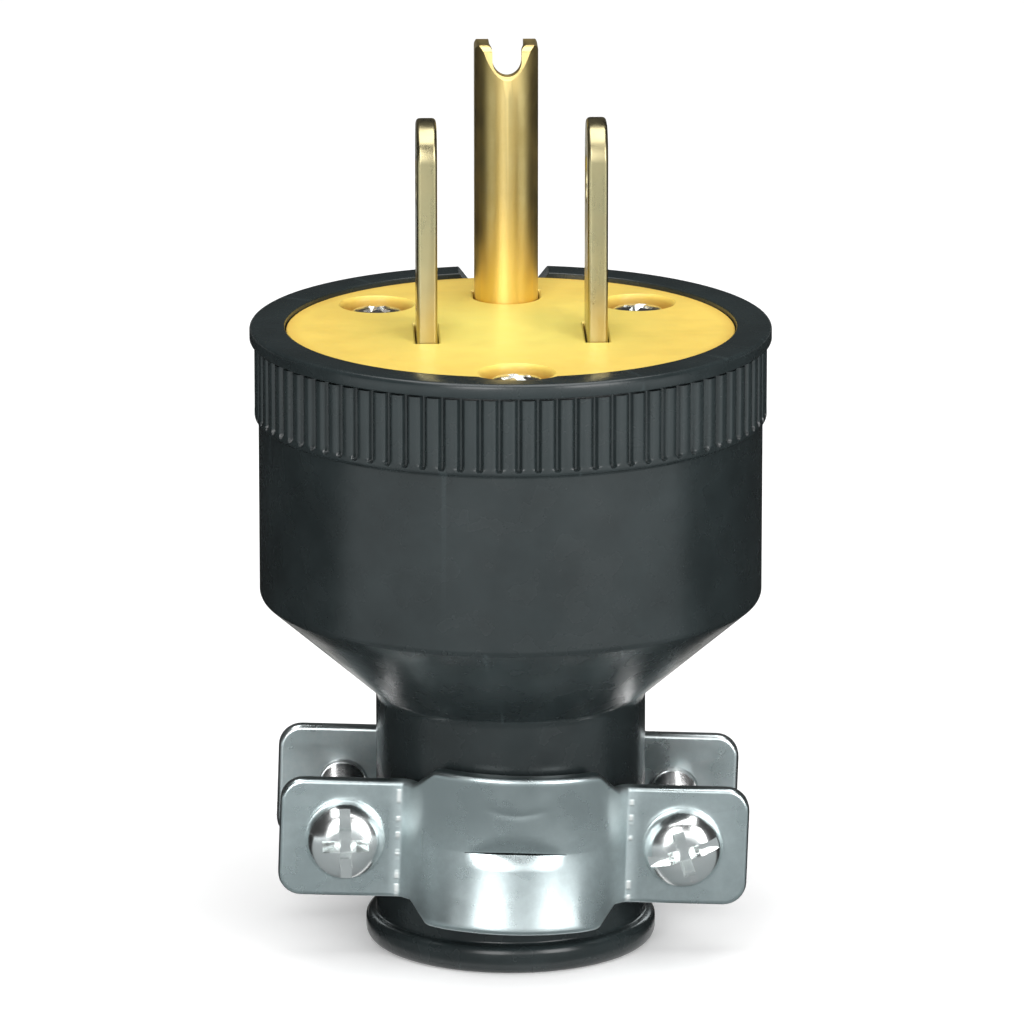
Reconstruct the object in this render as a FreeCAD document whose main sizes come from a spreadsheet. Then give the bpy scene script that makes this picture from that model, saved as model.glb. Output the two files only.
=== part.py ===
import FreeCAD, Part
import os
import Sketcher

# Rewireable rubber plug with two flat blades and a U ground pin.
# Millimetres. Z runs from the cord flange (z 0) to the pins, -Y faces the viewer, the ground pin is at +Y.

vector = FreeCAD.Vector
doc = FreeCAD.newDocument("plug")
sheet = doc.addObject("Spreadsheet::Sheet", "Sizes")

SIZES = [
    # rubber shell, outside
    ("flange_radius", "11 mm", "cord flange"),
    ("flange_height", "2.2 mm", "cord flange"),
    ("neck_radius", "10.2 mm", "neck under the clamp"),
    ("neck_top", "19.3 mm", "height where the cone starts"),
    ("cone_top", "27.3 mm", "height of the lower corner of the shell"),
    ("shell_radius", "18.95 mm", "plain cylinder"),
    ("rib_end", "40.8 mm", "lower edge of the rib band"),
    ("rib_foot", "0.3 mm", "lower edge of the band to the ends of the grooves"),
    ("rib_radius", "19.25 mm", "top of the ribs"),
    ("rib_count", "84", "grooves round the band"),
    ("rib_gap", "0.44 mm", "width of a groove"),
    ("rib_floor", "18.75 mm", "distance of a groove floor from the axis"),
    ("ring_radius", "19.6 mm", "rim ring"),
    ("ring_height", "1.1 mm", "rim ring"),
    ("rim_top", "47.8 mm", "height of the rim over the cord flange"),
    ("notch_top_half", "3.46 mm", "half width of the rim notch at its top"),
    ("notch_floor_half", "2.55 mm", "half width of the rim notch at its floor"),
    ("notch_depth", "1.2 mm", "rim notch"),
    ("notch_start", "16 mm", "distance of the notch cut from the axis"),
    ("flange_bevel", "0.8 mm", "lower edge of the cord flange"),
    # rubber shell, inside
    ("cord_radius", "6 mm", "cord entry"),
    ("room_floor", "27 mm", "floor of the wiring space"),
    ("room_radius", "15.9 mm", "wiring space and seat of the block"),
    ("lip_radius", "16.95 mm", "lip that shows round the face"),
    ("seat_play", "0.1 mm", "play of the face plate in its groove"),
    ("key_play", "0.3 mm", "play of the key lobe"),
    # face plate
    ("face_drop", "0.35 mm", "face under the rim"),
    ("plate_thickness", "4 mm", "face plate"),
    ("step_drop", "1.15 mm", "step of the plate under the face"),
    ("plate_radius", "17.7 mm", "edge of the plate under the lip"),
    ("face_radius", "16.85 mm", "raised face"),
    ("lobe_radius", "3.8 mm", "lobe of the face round the front screw"),
    ("lobe_play", "0.15 mm", "play round the lobe"),
    ("slot_play", "0.15 mm", "play of a blade in its slot"),
    # blades and ground pin
    ("blade_spacing", "12.7 mm", "centres of the blades"),
    ("blade_thickness", "1.52 mm", "blade"),
    ("blade_width", "6.35 mm", "blade"),
    ("blade_reach", "16.3 mm", "blade over the face"),
    ("blade_line", "-1.6 mm", "place of the blades in Y"),
    ("blade_tip_round", "2.1 mm", "corners of the blade tip"),
    ("blade_hole_radius", "1.8 mm", "hole near the blade tip"),
    ("blade_hole_drop", "4.6 mm", "hole under the blade tip"),
    ("foot_half", "4.2 mm", "half width of a blade foot"),
    ("foot_end", "13.9 mm", "end of a blade foot in X"),
    ("pin_offset", "11.89 mm", "ground pin behind the blade line"),
    ("pin_radius", "2.41 mm", "round of the ground pin"),
    ("pin_sheet", "1.1 mm", "sheet of the ground pin"),
    ("pin_leg", "2 mm", "legs behind the centre of the round"),
    ("pin_reach", "19.8 mm", "ground pin over the face"),
    ("pin_notch_half", "1.02 mm", "half width of the notch in the pin tip"),
    ("pin_notch_depth", "2.3 mm", "notch in the pin tip"),
    ("pin_coin", "0.45 mm", "pressed edge of the pin tip"),
    ("pin_foot_half", "4.1 mm", "half width of the ground foot"),
    ("pin_foot_end", "0.9 mm", "front end of the ground foot in Y"),
    # terminal block
    ("block_radius", "15.6 mm", "terminal block"),
    ("block_height", "10.45 mm", "terminal block"),
    ("block_lobe", "2.9 mm", "key lobe of the block"),
    ("well_half", "3.5 mm", "half side of a terminal well"),
    ("foot_play", "0.1 mm", "play of a foot in its recess"),
    # terminal screws and wire plates
    ("terminal_out", "10.1 mm", "line and neutral screws in X"),
    ("ground_back", "4.9 mm", "ground screw in Y"),
    ("terminal_head_radius", "2.8 mm", "terminal screw"),
    ("terminal_head_height", "2 mm", "terminal screw"),
    ("terminal_shank", "1.75 mm", "terminal screw"),
    ("tapped_radius", "1.8 mm", "hole for a terminal screw in a foot"),
    ("wire_plate_half", "3 mm", "half side of a wire plate"),
    ("wire_plate_thickness", "1 mm", "wire plate"),
    ("wire_plate_hole", "1.95 mm", "hole of a wire plate"),
    # face screws
    ("face_screw_front", "-14.2 mm", "front face screw in Y"),
    ("face_screw_back", "8 mm", "back face screws in Y"),
    ("face_screw_side", "9.9 mm", "back face screws in X"),
    ("face_head_radius", "2.1 mm", "face screw"),
    ("face_head_height", "1.3 mm", "face screw"),
    ("face_head_drop", "0.25 mm", "top of a face screw under the face"),
    ("face_shank", "1.3 mm", "face screw"),
    ("face_length", "10 mm", "face screw under its head"),
    ("face_hole", "1.5 mm", "hole for a face screw in the plate"),
    ("pilot_radius", "1.33 mm", "hole for a face screw in the block"),
    ("pilot_depth", "7.95 mm", "hole for a face screw in the block"),
    ("sink_radius", "2.7 mm", "recess round a face screw"),
    # recess of every screw head
    ("drive_half", "0.42 mm", "half width of a drive slot"),
    ("drive_depth", "0.8 mm", "depth of a drive slot"),
    ("drive_short", "1.35 mm", "short arm of the cross"),
    ("drive_long", "1.6 mm", "long arm of the cross"),
    # cord clamp
    ("clamp_height", "9.55 mm", "middle of the clamp"),
    ("clamp_tilt", "2 deg", "slant of the fitted clamp, right end down"),
    ("clamp_play", "0.25 mm", "play between saddle and neck"),
    ("clamp_sheet", "1.2 mm", "steel sheet"),
    ("ear_face", "7.97 mm", "outer face of an ear from the axis"),
    ("ear_end", "17.65 mm", "end of an ear in X"),
    ("ear_half", "4.55 mm", "half height of an ear"),
    ("ear_round", "1.9 mm", "corners of an ear"),
    ("saddle_half", "6.05 mm", "half height of the saddle"),
    ("saddle_corner", "5.9 mm", "place in X where the saddle starts to narrow"),
    ("saddle_slope", "7.4 mm", "place in X where the ears start"),
    ("bend_inside", "0.4 mm", "inner round of a bend"),
    ("bend_outside", "1.5 mm", "outer round of a bend"),
    ("slit_half", "3.6 mm", "half length of the cord-grip slit"),
    ("slit_width", "0.5 mm", "cord-grip slit"),
    ("clamp_screw_side", "12.7 mm", "clamp screws in X"),
    ("clamp_head_radius", "3.04 mm", "clamp screw"),
    ("clamp_head_height", "2.2 mm", "clamp screw"),
    ("clamp_shank", "1.75 mm", "clamp screw"),
    ("clamp_length", "19 mm", "clamp screw under its head"),
    ("clamp_hole", "2.05 mm", "clearance hole in the front ears"),
    ("clamp_tapped", "1.8 mm", "tapped hole in the rear ears"),
    ("overcut", "30 mm", "length of a cut that goes right through"),
    # places that follow from the sizes above
    ("ring_bottom", "=rim_top - ring_height", "underside of the rim ring"),
    ("rib_height", "=ring_bottom - rib_end", "rib band"),
    ("rib_half_turn", "=180 deg / rib_count", "half the angle from groove to groove"),
    ("groove_half", "=rib_gap / 2", "half width of a groove"),
    ("groove_out", "=rib_radius + 0.1 mm", "groove cut beyond the ribs"),
    ("groove_wide", "=groove_half * (groove_out - rib_floor) / (rib_radius - rib_floor)",
     "half width of a groove cut beyond the ribs"),
    ("groove_end", "=rib_end + rib_foot", "lower end of a groove"),
    ("groove_length", "=ring_bottom - groove_end", "length of a groove"),
    ("face_height", "=rim_top - face_drop", "height of the face"),
    ("step_height", "=face_height - step_drop", "height of the plate under the lip"),
    ("plate_back", "=face_height - plate_thickness", "back of the face plate"),
    ("plate_edge_height", "=step_height - plate_back", "edge of the plate under the lip"),
    ("groove_radius", "=plate_radius + seat_play", "groove for the plate in the shell"),
    ("lip_under", "=step_height + seat_play", "underside of the lip"),
    ("relief_radius", "=lobe_radius + lobe_play", "cut for the lobe in the lip"),
    ("flange_low", "=flange_radius - flange_bevel", "flat under the cord flange"),
    ("notch_floor", "=rim_top - notch_depth", "floor of the rim notch"),
    ("notch_over", "=rim_top + 1 mm", "top of the notch cut"),
    ("notch_over_half", "=notch_top_half + (notch_top_half - notch_floor_half) / notch_depth * 1 mm",
     "half width at the top of the notch cut"),
    ("block_bottom", "=plate_back - block_height", "back of the terminal block"),
    ("key_radius", "=block_lobe + key_play", "keyway in the shell"),
    ("key_bottom", "=block_bottom - key_play", "lower end of the keyway"),
    ("key_height", "=plate_back - key_bottom", "keyway in the shell"),
    ("blade_tip", "=face_height + blade_reach", "height of the blade tips"),
    ("blade_in", "=blade_spacing / 2 - blade_thickness / 2", "inner face of a blade"),
    ("blade_out", "=blade_spacing / 2 + blade_thickness / 2", "outer face of a blade"),
    ("blade_front", "=blade_line - blade_width / 2", "front edge of a blade"),
    ("blade_back", "=blade_line + blade_width / 2", "back edge of a blade"),
    ("blade_hole_height", "=blade_tip - blade_hole_drop", "height of the blade holes"),
    ("slot_in", "=blade_in - slot_play", "blade slot"),
    ("slot_out", "=blade_out + slot_play", "blade slot"),
    ("slot_front", "=blade_front - slot_play", "blade slot"),
    ("slot_back", "=blade_back + slot_play", "blade slot"),
    ("foot_front", "=blade_line - foot_half", "front edge of a blade foot"),
    ("foot_back", "=blade_line + foot_half", "back edge of a blade foot"),
    ("recess_in", "=blade_in - foot_play", "recess for a blade foot"),
    ("recess_out", "=foot_end + foot_play", "recess for a blade foot"),
    ("recess_front", "=foot_front - foot_play", "recess for a blade foot"),
    ("recess_back", "=foot_back + foot_play", "recess for a blade foot"),
    ("well_in", "=terminal_out - well_half", "well of a blade"),
    ("well_over", "=block_radius + 1 mm", "cut of a well beyond the edge of the block"),
    ("well_front", "=blade_line - well_half", "well of a blade"),
    ("well_back", "=blade_line + well_half", "well of a blade"),
    ("pin_line", "=blade_line + pin_offset", "centre of the ground pin in Y"),
    ("pin_inner", "=pin_radius - pin_sheet", "inner round of the ground pin"),
    ("pin_back", "=pin_line + pin_leg", "back of the ground pin"),
    ("pin_front", "=pin_line - pin_radius", "front of the ground pin"),
    ("pin_height", "=face_height + pin_reach - plate_back", "full length of the ground pin"),
    ("pin_tip", "=face_height + pin_reach", "height of the ground pin tip"),
    ("pin_notch_round", "=pin_tip - pin_notch_depth + pin_notch_half", "centre of the notch round"),
    ("pin_notch_over", "=pin_tip + 1 mm", "top of the notch cut"),
    ("pin_foot_back", "=pin_front + pin_sheet", "back end of the ground foot"),
    ("pin_slot_half", "=pin_radius + slot_play", "hole for the ground pin"),
    ("pin_slot_back", "=pin_back + slot_play", "hole for the ground pin"),
    ("pin_recess_half", "=pin_foot_half + foot_play", "recess for the ground foot"),
    ("pin_recess_front", "=pin_foot_end - foot_play", "recess for the ground foot"),
    ("pin_recess_back", "=pin_front + 0.4 mm", "recess for the ground foot, into the pin hole"),
    ("ground_well_front", "=ground_back - well_half", "well of the ground screw"),
    ("wire_plate_bottom", "=plate_back - wire_plate_thickness", "underside of the wire plates"),
    ("wire_in", "=terminal_out - wire_plate_half", "wire plate of a blade"),
    ("wire_out", "=terminal_out + wire_plate_half", "wire plate of a blade"),
    ("wire_front", "=blade_line - wire_plate_half", "wire plate of a blade"),
    ("wire_back", "=blade_line + wire_plate_half", "wire plate of a blade"),
    ("ground_wire_front", "=ground_back - wire_plate_half", "wire plate of the ground pin"),
    ("ground_wire_back", "=ground_back + wire_plate_half", "wire plate of the ground pin"),
    ("terminal_head_end", "=wire_plate_bottom - terminal_head_height", "end of a terminal screw head"),
    ("terminal_length", "=wire_plate_thickness + blade_thickness", "terminal screw, flush with its foot"),
    ("terminal_over", "=terminal_head_radius + 0.5 mm", "length of the slot cut"),
    ("sink_depth", "=face_head_drop + face_head_height", "recess round a face screw"),
    ("face_seat", "=face_height - sink_depth", "seat of a face screw"),
    ("face_head_top", "=face_height - face_head_drop", "top of a face screw"),
    ("saddle_height", "=2 * saddle_half", "full height of the saddle"),
    ("saddle_inner", "=neck_radius + clamp_play", "inner round of the saddle"),
    ("saddle_outer", "=saddle_inner + clamp_sheet", "outer round of the saddle"),
    ("ear_back", "=ear_face - clamp_sheet", "inner face of an ear"),
    ("ear_over", "=ear_end + 1 mm", "cut over the ears"),
    ("saddle_over", "=saddle_half + 1 mm", "cut over the ears"),
    ("slit_edge", "=slit_width / 2", "half width of the cord-grip slit"),
    ("clamp_head_end", "=ear_face + clamp_head_height", "end of a clamp screw head"),
    ("clamp_end", "=clamp_length - ear_face", "end of a clamp screw"),
]

for row, (alias, formula, note) in enumerate(SIZES, 1):
    sheet.set("A%d" % row, note)
    sheet.set("B%d" % row, formula if formula.startswith("=") else "=" + formula)
    sheet.setAlias("B%d" % row, alias)
doc.recompute()


def number(name):
    """Value of a sheet name. A leading minus turns its sign, "0" is nought."""
    if name == "0":
        return 0.0
    if name.startswith("-"):
        return -number(name[1:])
    cell = getattr(sheet, name)
    return float(getattr(cell, "Value", cell))


def bound(name):
    """Expression that ties a property to a sheet name."""
    if name == "0":
        return "0 mm"
    if name.startswith("-"):
        return "-Sizes." + name[1:]
    return "Sizes." + name


def new_body(name):
    return doc.addObject("PartDesign::Body", name)


def origin_part(body, role):
    for feature in body.Origin.OriginFeatures:
        if feature.Role == role:
            return feature
    raise RuntimeError("no " + role)


def new_sketch(body, name, role, shift):
    """Sketch on an origin plane, moved by sheet names along its own axes."""
    sketch = body.newObject("Sketcher::SketchObject", name)
    sketch.AttachmentSupport = [(origin_part(body, role), "")]
    sketch.MapMode = "FlatFace"
    for axis, size in shift.items():
        sketch.setExpression("AttachmentOffset.Base." + axis, bound(size))
    return sketch


def pin_point(sketch, geometry, vertex, x, y):
    """Tie one point of a sketch to two sheet names."""
    for kind, size, line in (("DistanceX", x, -2), ("DistanceY", y, -1)):
        if size == "0":
            sketch.addConstraint(Sketcher.Constraint("PointOnObject", geometry, vertex, line))
        else:
            rule = Sketcher.Constraint(kind, -1, 1, geometry, vertex, number(size))
            index = sketch.addConstraint(rule)
            sketch.setExpression("Constraints[%d]" % index, bound(size))


def polygon(sketch, corners):
    first = sketch.GeometryCount
    count = len(corners)
    points = [vector(number(x), number(y), 0) for x, y in corners]
    for i in range(count):
        sketch.addGeometry(Part.LineSegment(points[i], points[(i + 1) % count]), False)
    for i in range(count):
        sketch.addConstraint(Sketcher.Constraint("Coincident", first + i, 2, first + (i + 1) % count, 1))
    for i, (x, y) in enumerate(corners):
        pin_point(sketch, first + i, 1, x, y)


def rectangle(sketch, left, front, right, back):
    polygon(sketch, [(left, front), (right, front), (right, back), (left, back)])


def set_radius(sketch, geometry, radius):
    index = sketch.addConstraint(Sketcher.Constraint("Radius", geometry, number(radius)))
    sketch.setExpression("Constraints[%d]" % index, bound(radius))


def circle(sketch, x, y, radius):
    shape = Part.Circle(vector(number(x), number(y), 0), vector(0, 0, 1), number(radius))
    geometry = sketch.addGeometry(shape, False)
    set_radius(sketch, geometry, radius)
    pin_point(sketch, geometry, 3, x, y)


def tongue(sketch, half, centre, top):
    """Upright slot with a round lower end, centred on the sketch's own upright axis."""
    low = number(centre)
    high = number(top)
    side = number(half)
    left = sketch.addGeometry(Part.LineSegment(vector(-side, high, 0), vector(-side, low, 0)), False)
    ring = Part.Circle(vector(0, low, 0), vector(0, 0, 1), side)
    round_end = sketch.addGeometry(Part.ArcOfCircle(ring, 3.14159265, 6.2831853), False)
    right = sketch.addGeometry(Part.LineSegment(vector(side, low, 0), vector(side, high, 0)), False)
    lid = sketch.addGeometry(Part.LineSegment(vector(side, high, 0), vector(-side, high, 0)), False)
    sketch.addConstraint(Sketcher.Constraint("Coincident", left, 2, round_end, 1))
    sketch.addConstraint(Sketcher.Constraint("Coincident", round_end, 2, right, 1))
    sketch.addConstraint(Sketcher.Constraint("Coincident", right, 2, lid, 1))
    sketch.addConstraint(Sketcher.Constraint("Coincident", lid, 2, left, 1))
    pin_point(sketch, left, 1, "-" + half, top)
    pin_point(sketch, right, 2, half, top)
    pin_point(sketch, round_end, 1, "-" + half, centre)
    pin_point(sketch, round_end, 2, half, centre)
    rule = Sketcher.Constraint("DistanceY", -1, 1, round_end, 3, low)
    index = sketch.addConstraint(rule)
    sketch.setExpression("Constraints[%d]" % index, bound(centre))


def revolve(body, name, sketch):
    turn = body.newObject("PartDesign::Revolution", name)
    turn.Profile = sketch
    turn.ReferenceAxis = (sketch, ["V_Axis"])
    turn.Angle = 360
    doc.recompute()
    return turn


def pad(body, name, sketch, length):
    """Adds material along the sketch normal."""
    before = body.Shape.Volume if body.Tip else 0.0
    feature = body.newObject("PartDesign::Pad", name)
    feature.Profile = sketch
    feature.setExpression("Length", bound(length))
    doc.recompute()
    if not body.Shape.Volume > before + 1e-4:
        raise RuntimeError(name + " adds nothing")
    return feature


def cut(body, name, sketch, length, along):
    """Takes material away, along the sketch normal or against it."""
    before = body.Shape.Volume
    feature = body.newObject("PartDesign::Pocket", name)
    feature.Profile = sketch
    feature.Reversed = along
    feature.setExpression("Length", bound(length))
    doc.recompute()
    if not body.Shape.Volume < before - 1e-4:
        raise RuntimeError(name + " takes nothing away")
    return feature


def edges_where(body, test):
    names = []
    for index, edge in enumerate(body.Shape.Edges, 1):
        if test(edge):
            names.append("Edge%d" % index)
    if not names:
        raise RuntimeError("no edge found on " + body.Name)
    return names


def dress(body, name, kind, size, test):
    """Fillet or Chamfer on the edges that pass the test."""
    names = edges_where(body, test)
    before = body.Tip
    feature = body.newObject("PartDesign::" + kind, name)
    feature.Base = (before, names)
    feature.setExpression("Radius" if kind == "Fillet" else "Size", bound(size))
    doc.recompute()
    return feature


def near(value, name, slack=1e-3):
    return abs(value - number(name)) < slack


# rubber shell
shell = new_body("rubber_body")
outline = new_sketch(shell, "ShellProfile", "XZ_Plane", {})
polygon(outline, [
    ("0", "0"),
    ("flange_low", "0"),
    ("flange_radius", "flange_bevel"),
    ("flange_radius", "flange_height"),
    ("neck_radius", "flange_height"),
    ("neck_radius", "neck_top"),
    ("shell_radius", "cone_top"),
    ("shell_radius", "ring_bottom"),
    ("ring_radius", "ring_bottom"),
    ("ring_radius", "rim_top"),
    ("0", "rim_top"),
])
revolve(shell, "ShellTurn", outline)

# the ribs are flat on top, so the band is a prism with one side to each rib
band = shell.newObject("PartDesign::AdditivePrism", "RibBand")
band.AttachmentSupport = [(origin_part(shell, "XY_Plane"), "")]
band.MapMode = "FlatFace"
band.AttachmentOffset = FreeCAD.Placement(vector(0, 0, number("rib_end")),
                                          FreeCAD.Rotation(vector(0, 0, 1), number("rib_half_turn")))
band.setExpression("AttachmentOffset.Base.z", "Sizes.rib_end")
band.setExpression("AttachmentOffset.Rotation.Angle", "Sizes.rib_half_turn")
band.setExpression("Polygon", "Sizes.rib_count")
band.setExpression("Circumradius", "Sizes.rib_radius")
band.setExpression("Height", "Sizes.rib_height")
doc.recompute()

hollow = new_sketch(shell, "HollowProfile", "XZ_Plane", {})
polygon(hollow, [
    ("0", "0"),
    ("cord_radius", "0"),
    ("cord_radius", "room_floor"),
    ("room_radius", "room_floor"),
    ("room_radius", "plate_back"),
    ("groove_radius", "plate_back"),
    ("groove_radius", "lip_under"),
    ("lip_radius", "lip_under"),
    ("lip_radius", "rim_top"),
    ("0", "rim_top"),
])
hollow_cut = shell.newObject("PartDesign::Groove", "HollowCut")
hollow_cut.Profile = hollow
hollow_cut.ReferenceAxis = (hollow, ["V_Axis"])
hollow_cut.Angle = 360
doc.recompute()

relief = new_sketch(shell, "LobeRelief", "XY_Plane", {"z": "step_height"})
circle(relief, "0", "face_screw_front", "relief_radius")
cut(shell, "LobeReliefCut", relief, "overcut", True)
keyway = new_sketch(shell, "Keyway", "XY_Plane", {"z": "key_bottom"})
circle(keyway, "0", "face_screw_front", "key_radius")
cut(shell, "KeywayCut", keyway, "key_height", True)
notch = new_sketch(shell, "RimNotch", "XZ_Plane", {"z": "-notch_start"})
polygon(notch, [
    ("-notch_floor_half", "notch_floor"),
    ("notch_floor_half", "notch_floor"),
    ("notch_over_half", "notch_over"),
    ("-notch_over_half", "notch_over"),
])
cut(shell, "RimNotchCut", notch, "overcut", False)

groove = new_sketch(shell, "RibGroove", "XY_Plane", {"z": "groove_end"})
polygon(groove, [
    ("0", "-rib_floor"),
    ("-groove_wide", "-groove_out"),
    ("groove_wide", "-groove_out"),
])
groove_cut = cut(shell, "RibGrooveCut", groove, "groove_length", True)
ribs = shell.newObject("PartDesign::PolarPattern", "RibPattern")
ribs.Originals = [groove_cut]
ribs.Axis = (origin_part(shell, "Z_Axis"), [""])
ribs.Angle = 360
ribs.setExpression("Occurrences", "Sizes.rib_count")
shell.Tip = ribs
doc.recompute()

# face plate
plate = new_body("face_plate")
plate_edge = new_sketch(plate, "PlateEdge", "XY_Plane", {"z": "plate_back"})
circle(plate_edge, "0", "0", "plate_radius")
pad(plate, "PlateEdgePad", plate_edge, "plate_edge_height")
raised = new_sketch(plate, "RaisedFace", "XY_Plane", {"z": "step_height"})
circle(raised, "0", "0", "face_radius")
pad(plate, "RaisedFacePad", raised, "step_drop")
lobe = new_sketch(plate, "Lobe", "XY_Plane", {"z": "step_height"})
circle(lobe, "0", "face_screw_front", "lobe_radius")
pad(plate, "LobePad", lobe, "step_drop")
slots = new_sketch(plate, "BladeSlots", "XY_Plane", {"z": "face_height"})
rectangle(slots, "slot_in", "slot_front", "slot_out", "slot_back")
rectangle(slots, "-slot_out", "slot_front", "-slot_in", "slot_back")
cut(plate, "BladeSlotsCut", slots, "plate_thickness", False)
pin_hole = new_sketch(plate, "PinHoleRound", "XY_Plane", {"z": "face_height"})
circle(pin_hole, "0", "pin_line", "pin_slot_half")
cut(plate, "PinHoleRoundCut", pin_hole, "plate_thickness", False)
pin_legs = new_sketch(plate, "PinHoleLegs", "XY_Plane", {"z": "face_height"})
rectangle(pin_legs, "-pin_slot_half", "pin_line", "pin_slot_half", "pin_slot_back")
cut(plate, "PinHoleLegsCut", pin_legs, "plate_thickness", False)
FACE_SCREWS = [("0", "face_screw_front"), ("face_screw_side", "face_screw_back"),
               ("-face_screw_side", "face_screw_back")]
sinks = new_sketch(plate, "ScrewSinks", "XY_Plane", {"z": "face_height"})
holes = new_sketch(plate, "ScrewHoles", "XY_Plane", {"z": "face_height"})
for place_x, place_y in FACE_SCREWS:
    circle(sinks, place_x, place_y, "sink_radius")
    circle(holes, place_x, place_y, "face_hole")
cut(plate, "ScrewSinksCut", sinks, "sink_depth", False)
cut(plate, "ScrewHolesCut", holes, "plate_thickness", False)
recess = new_sketch(plate, "FootRecesses", "XY_Plane", {"z": "plate_back"})
rectangle(recess, "recess_in", "recess_front", "recess_out", "recess_back")
rectangle(recess, "-recess_out", "recess_front", "-recess_in", "recess_back")
rectangle(recess, "-pin_recess_half", "pin_recess_front", "pin_recess_half", "pin_recess_back")
cut(plate, "FootRecessesCut", recess, "blade_thickness", True)

# terminal block
block = new_body("terminal_block")
disc = new_sketch(block, "BlockDisc", "XY_Plane", {"z": "block_bottom"})
circle(disc, "0", "0", "block_radius")
pad(block, "BlockDiscPad", disc, "block_height")
key = new_sketch(block, "BlockKey", "XY_Plane", {"z": "block_bottom"})
circle(key, "0", "face_screw_front", "block_lobe")
pad(block, "BlockKeyPad", key, "block_height")
wells = new_sketch(block, "Wells", "XY_Plane", {"z": "block_bottom"})
rectangle(wells, "well_in", "well_front", "well_over", "well_back")
rectangle(wells, "-well_over", "well_front", "-well_in", "well_back")
rectangle(wells, "-well_half", "ground_well_front", "well_half", "well_over")
cut(block, "WellsCut", wells, "block_height", True)
pilots = new_sketch(block, "Pilots", "XY_Plane", {"z": "plate_back"})
for place_x, place_y in FACE_SCREWS:
    circle(pilots, place_x, place_y, "pilot_radius")
cut(block, "PilotsCut", pilots, "pilot_depth", False)


def make_blade(name, left):
    """Flat blade with a foot bent outwards under the face plate."""
    body = new_body(name)
    sign = "-" if left else ""
    flat = new_sketch(body, name + "_flat", "YZ_Plane", {"z": "-blade_out" if left else "blade_in"})
    rectangle(flat, "blade_front", "plate_back", "blade_back", "blade_tip")
    pad(body, name + "_flat_pad", flat, "blade_thickness")
    dress(body, name + "_tip_round", "Fillet", "blade_tip_round", lambda e: (
        near(e.BoundBox.ZMin, "blade_tip") and near(e.BoundBox.YLength, "0")))
    foot = new_sketch(body, name + "_foot", "XY_Plane", {"z": "plate_back"})
    if left:
        rectangle(foot, "-foot_end", "foot_front", "-blade_in", "foot_back")
    else:
        rectangle(foot, "blade_in", "foot_front", "foot_end", "foot_back")
    pad(body, name + "_foot_pad", foot, "blade_thickness")
    tapped = new_sketch(body, name + "_tapped", "XY_Plane", {"z": "plate_back"})
    circle(tapped, sign + "terminal_out", "blade_line", "tapped_radius")
    cut(body, name + "_tapped_cut", tapped, "blade_thickness", True)
    hole = new_sketch(body, name + "_hole", "YZ_Plane", {"z": "-blade_out" if left else "blade_in"})
    circle(hole, "blade_line", "blade_hole_height", "blade_hole_radius")
    cut(body, name + "_hole_cut", hole, "blade_thickness", True)
    return body


line_blade = make_blade("line_blade", True)
neutral_blade = make_blade("neutral_blade", False)

# ground pin
pin = new_body("ground_pin")
channel = new_sketch(pin, "PinChannel", "XY_Plane", {"z": "plate_back"})
centre_y = number("pin_line")
back_y = number("pin_back")
outer_x = number("pin_radius")
inner_x = number("pin_inner")
half_turn = 3.14159265
outer_ring = Part.Circle(vector(0, centre_y, 0), vector(0, 0, 1), outer_x)
inner_ring = Part.Circle(vector(0, centre_y, 0), vector(0, 0, 1), inner_x)
channel.addGeometry(Part.ArcOfCircle(outer_ring, half_turn, 2 * half_turn), False)
channel.addGeometry(Part.LineSegment(vector(outer_x, centre_y, 0), vector(outer_x, back_y, 0)), False)
channel.addGeometry(Part.LineSegment(vector(outer_x, back_y, 0), vector(inner_x, back_y, 0)), False)
channel.addGeometry(Part.LineSegment(vector(inner_x, back_y, 0), vector(inner_x, centre_y, 0)), False)
channel.addGeometry(Part.ArcOfCircle(inner_ring, half_turn, 2 * half_turn), False)
channel.addGeometry(Part.LineSegment(vector(-inner_x, centre_y, 0), vector(-inner_x, back_y, 0)), False)
channel.addGeometry(Part.LineSegment(vector(-inner_x, back_y, 0), vector(-outer_x, back_y, 0)), False)
channel.addGeometry(Part.LineSegment(vector(-outer_x, back_y, 0), vector(-outer_x, centre_y, 0)), False)
for one, one_end, other, other_end in ((0, 2, 1, 1), (1, 2, 2, 1), (2, 2, 3, 1), (3, 2, 4, 2),
                                       (4, 1, 5, 1), (5, 2, 6, 1), (6, 2, 7, 1), (7, 2, 0, 1)):
    channel.addConstraint(Sketcher.Constraint("Coincident", one, one_end, other, other_end))
pin_point(channel, 0, 1, "-pin_radius", "pin_line")
pin_point(channel, 0, 2, "pin_radius", "pin_line")
pin_point(channel, 1, 2, "pin_radius", "pin_back")
pin_point(channel, 2, 2, "pin_inner", "pin_back")
pin_point(channel, 4, 2, "pin_inner", "pin_line")
pin_point(channel, 4, 1, "-pin_inner", "pin_line")
pin_point(channel, 5, 2, "-pin_inner", "pin_back")
pin_point(channel, 6, 2, "-pin_radius", "pin_back")
for arc in (0, 4):
    rule = Sketcher.Constraint("DistanceY", -1, 1, arc, 3, centre_y)
    rule_index = channel.addConstraint(rule)
    channel.setExpression("Constraints[%d]" % rule_index, bound("pin_line"))
pad(pin, "PinChannelPad", channel, "pin_height")
dress(pin, "PinCoin", "Chamfer", "pin_coin", lambda e: (
    near(e.BoundBox.ZMin, "pin_tip") and near(e.BoundBox.ZMax, "pin_tip")
    and (near(e.BoundBox.XMax, "pin_radius") or near(e.BoundBox.XMin, "-pin_radius"))
    and e.BoundBox.XLength != e.BoundBox.YLength
    and (near(e.BoundBox.XLength, "0") or e.BoundBox.XLength > 3)))
pin_notch = new_sketch(pin, "PinNotch", "XZ_Plane", {"z": "-pin_line"})
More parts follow.
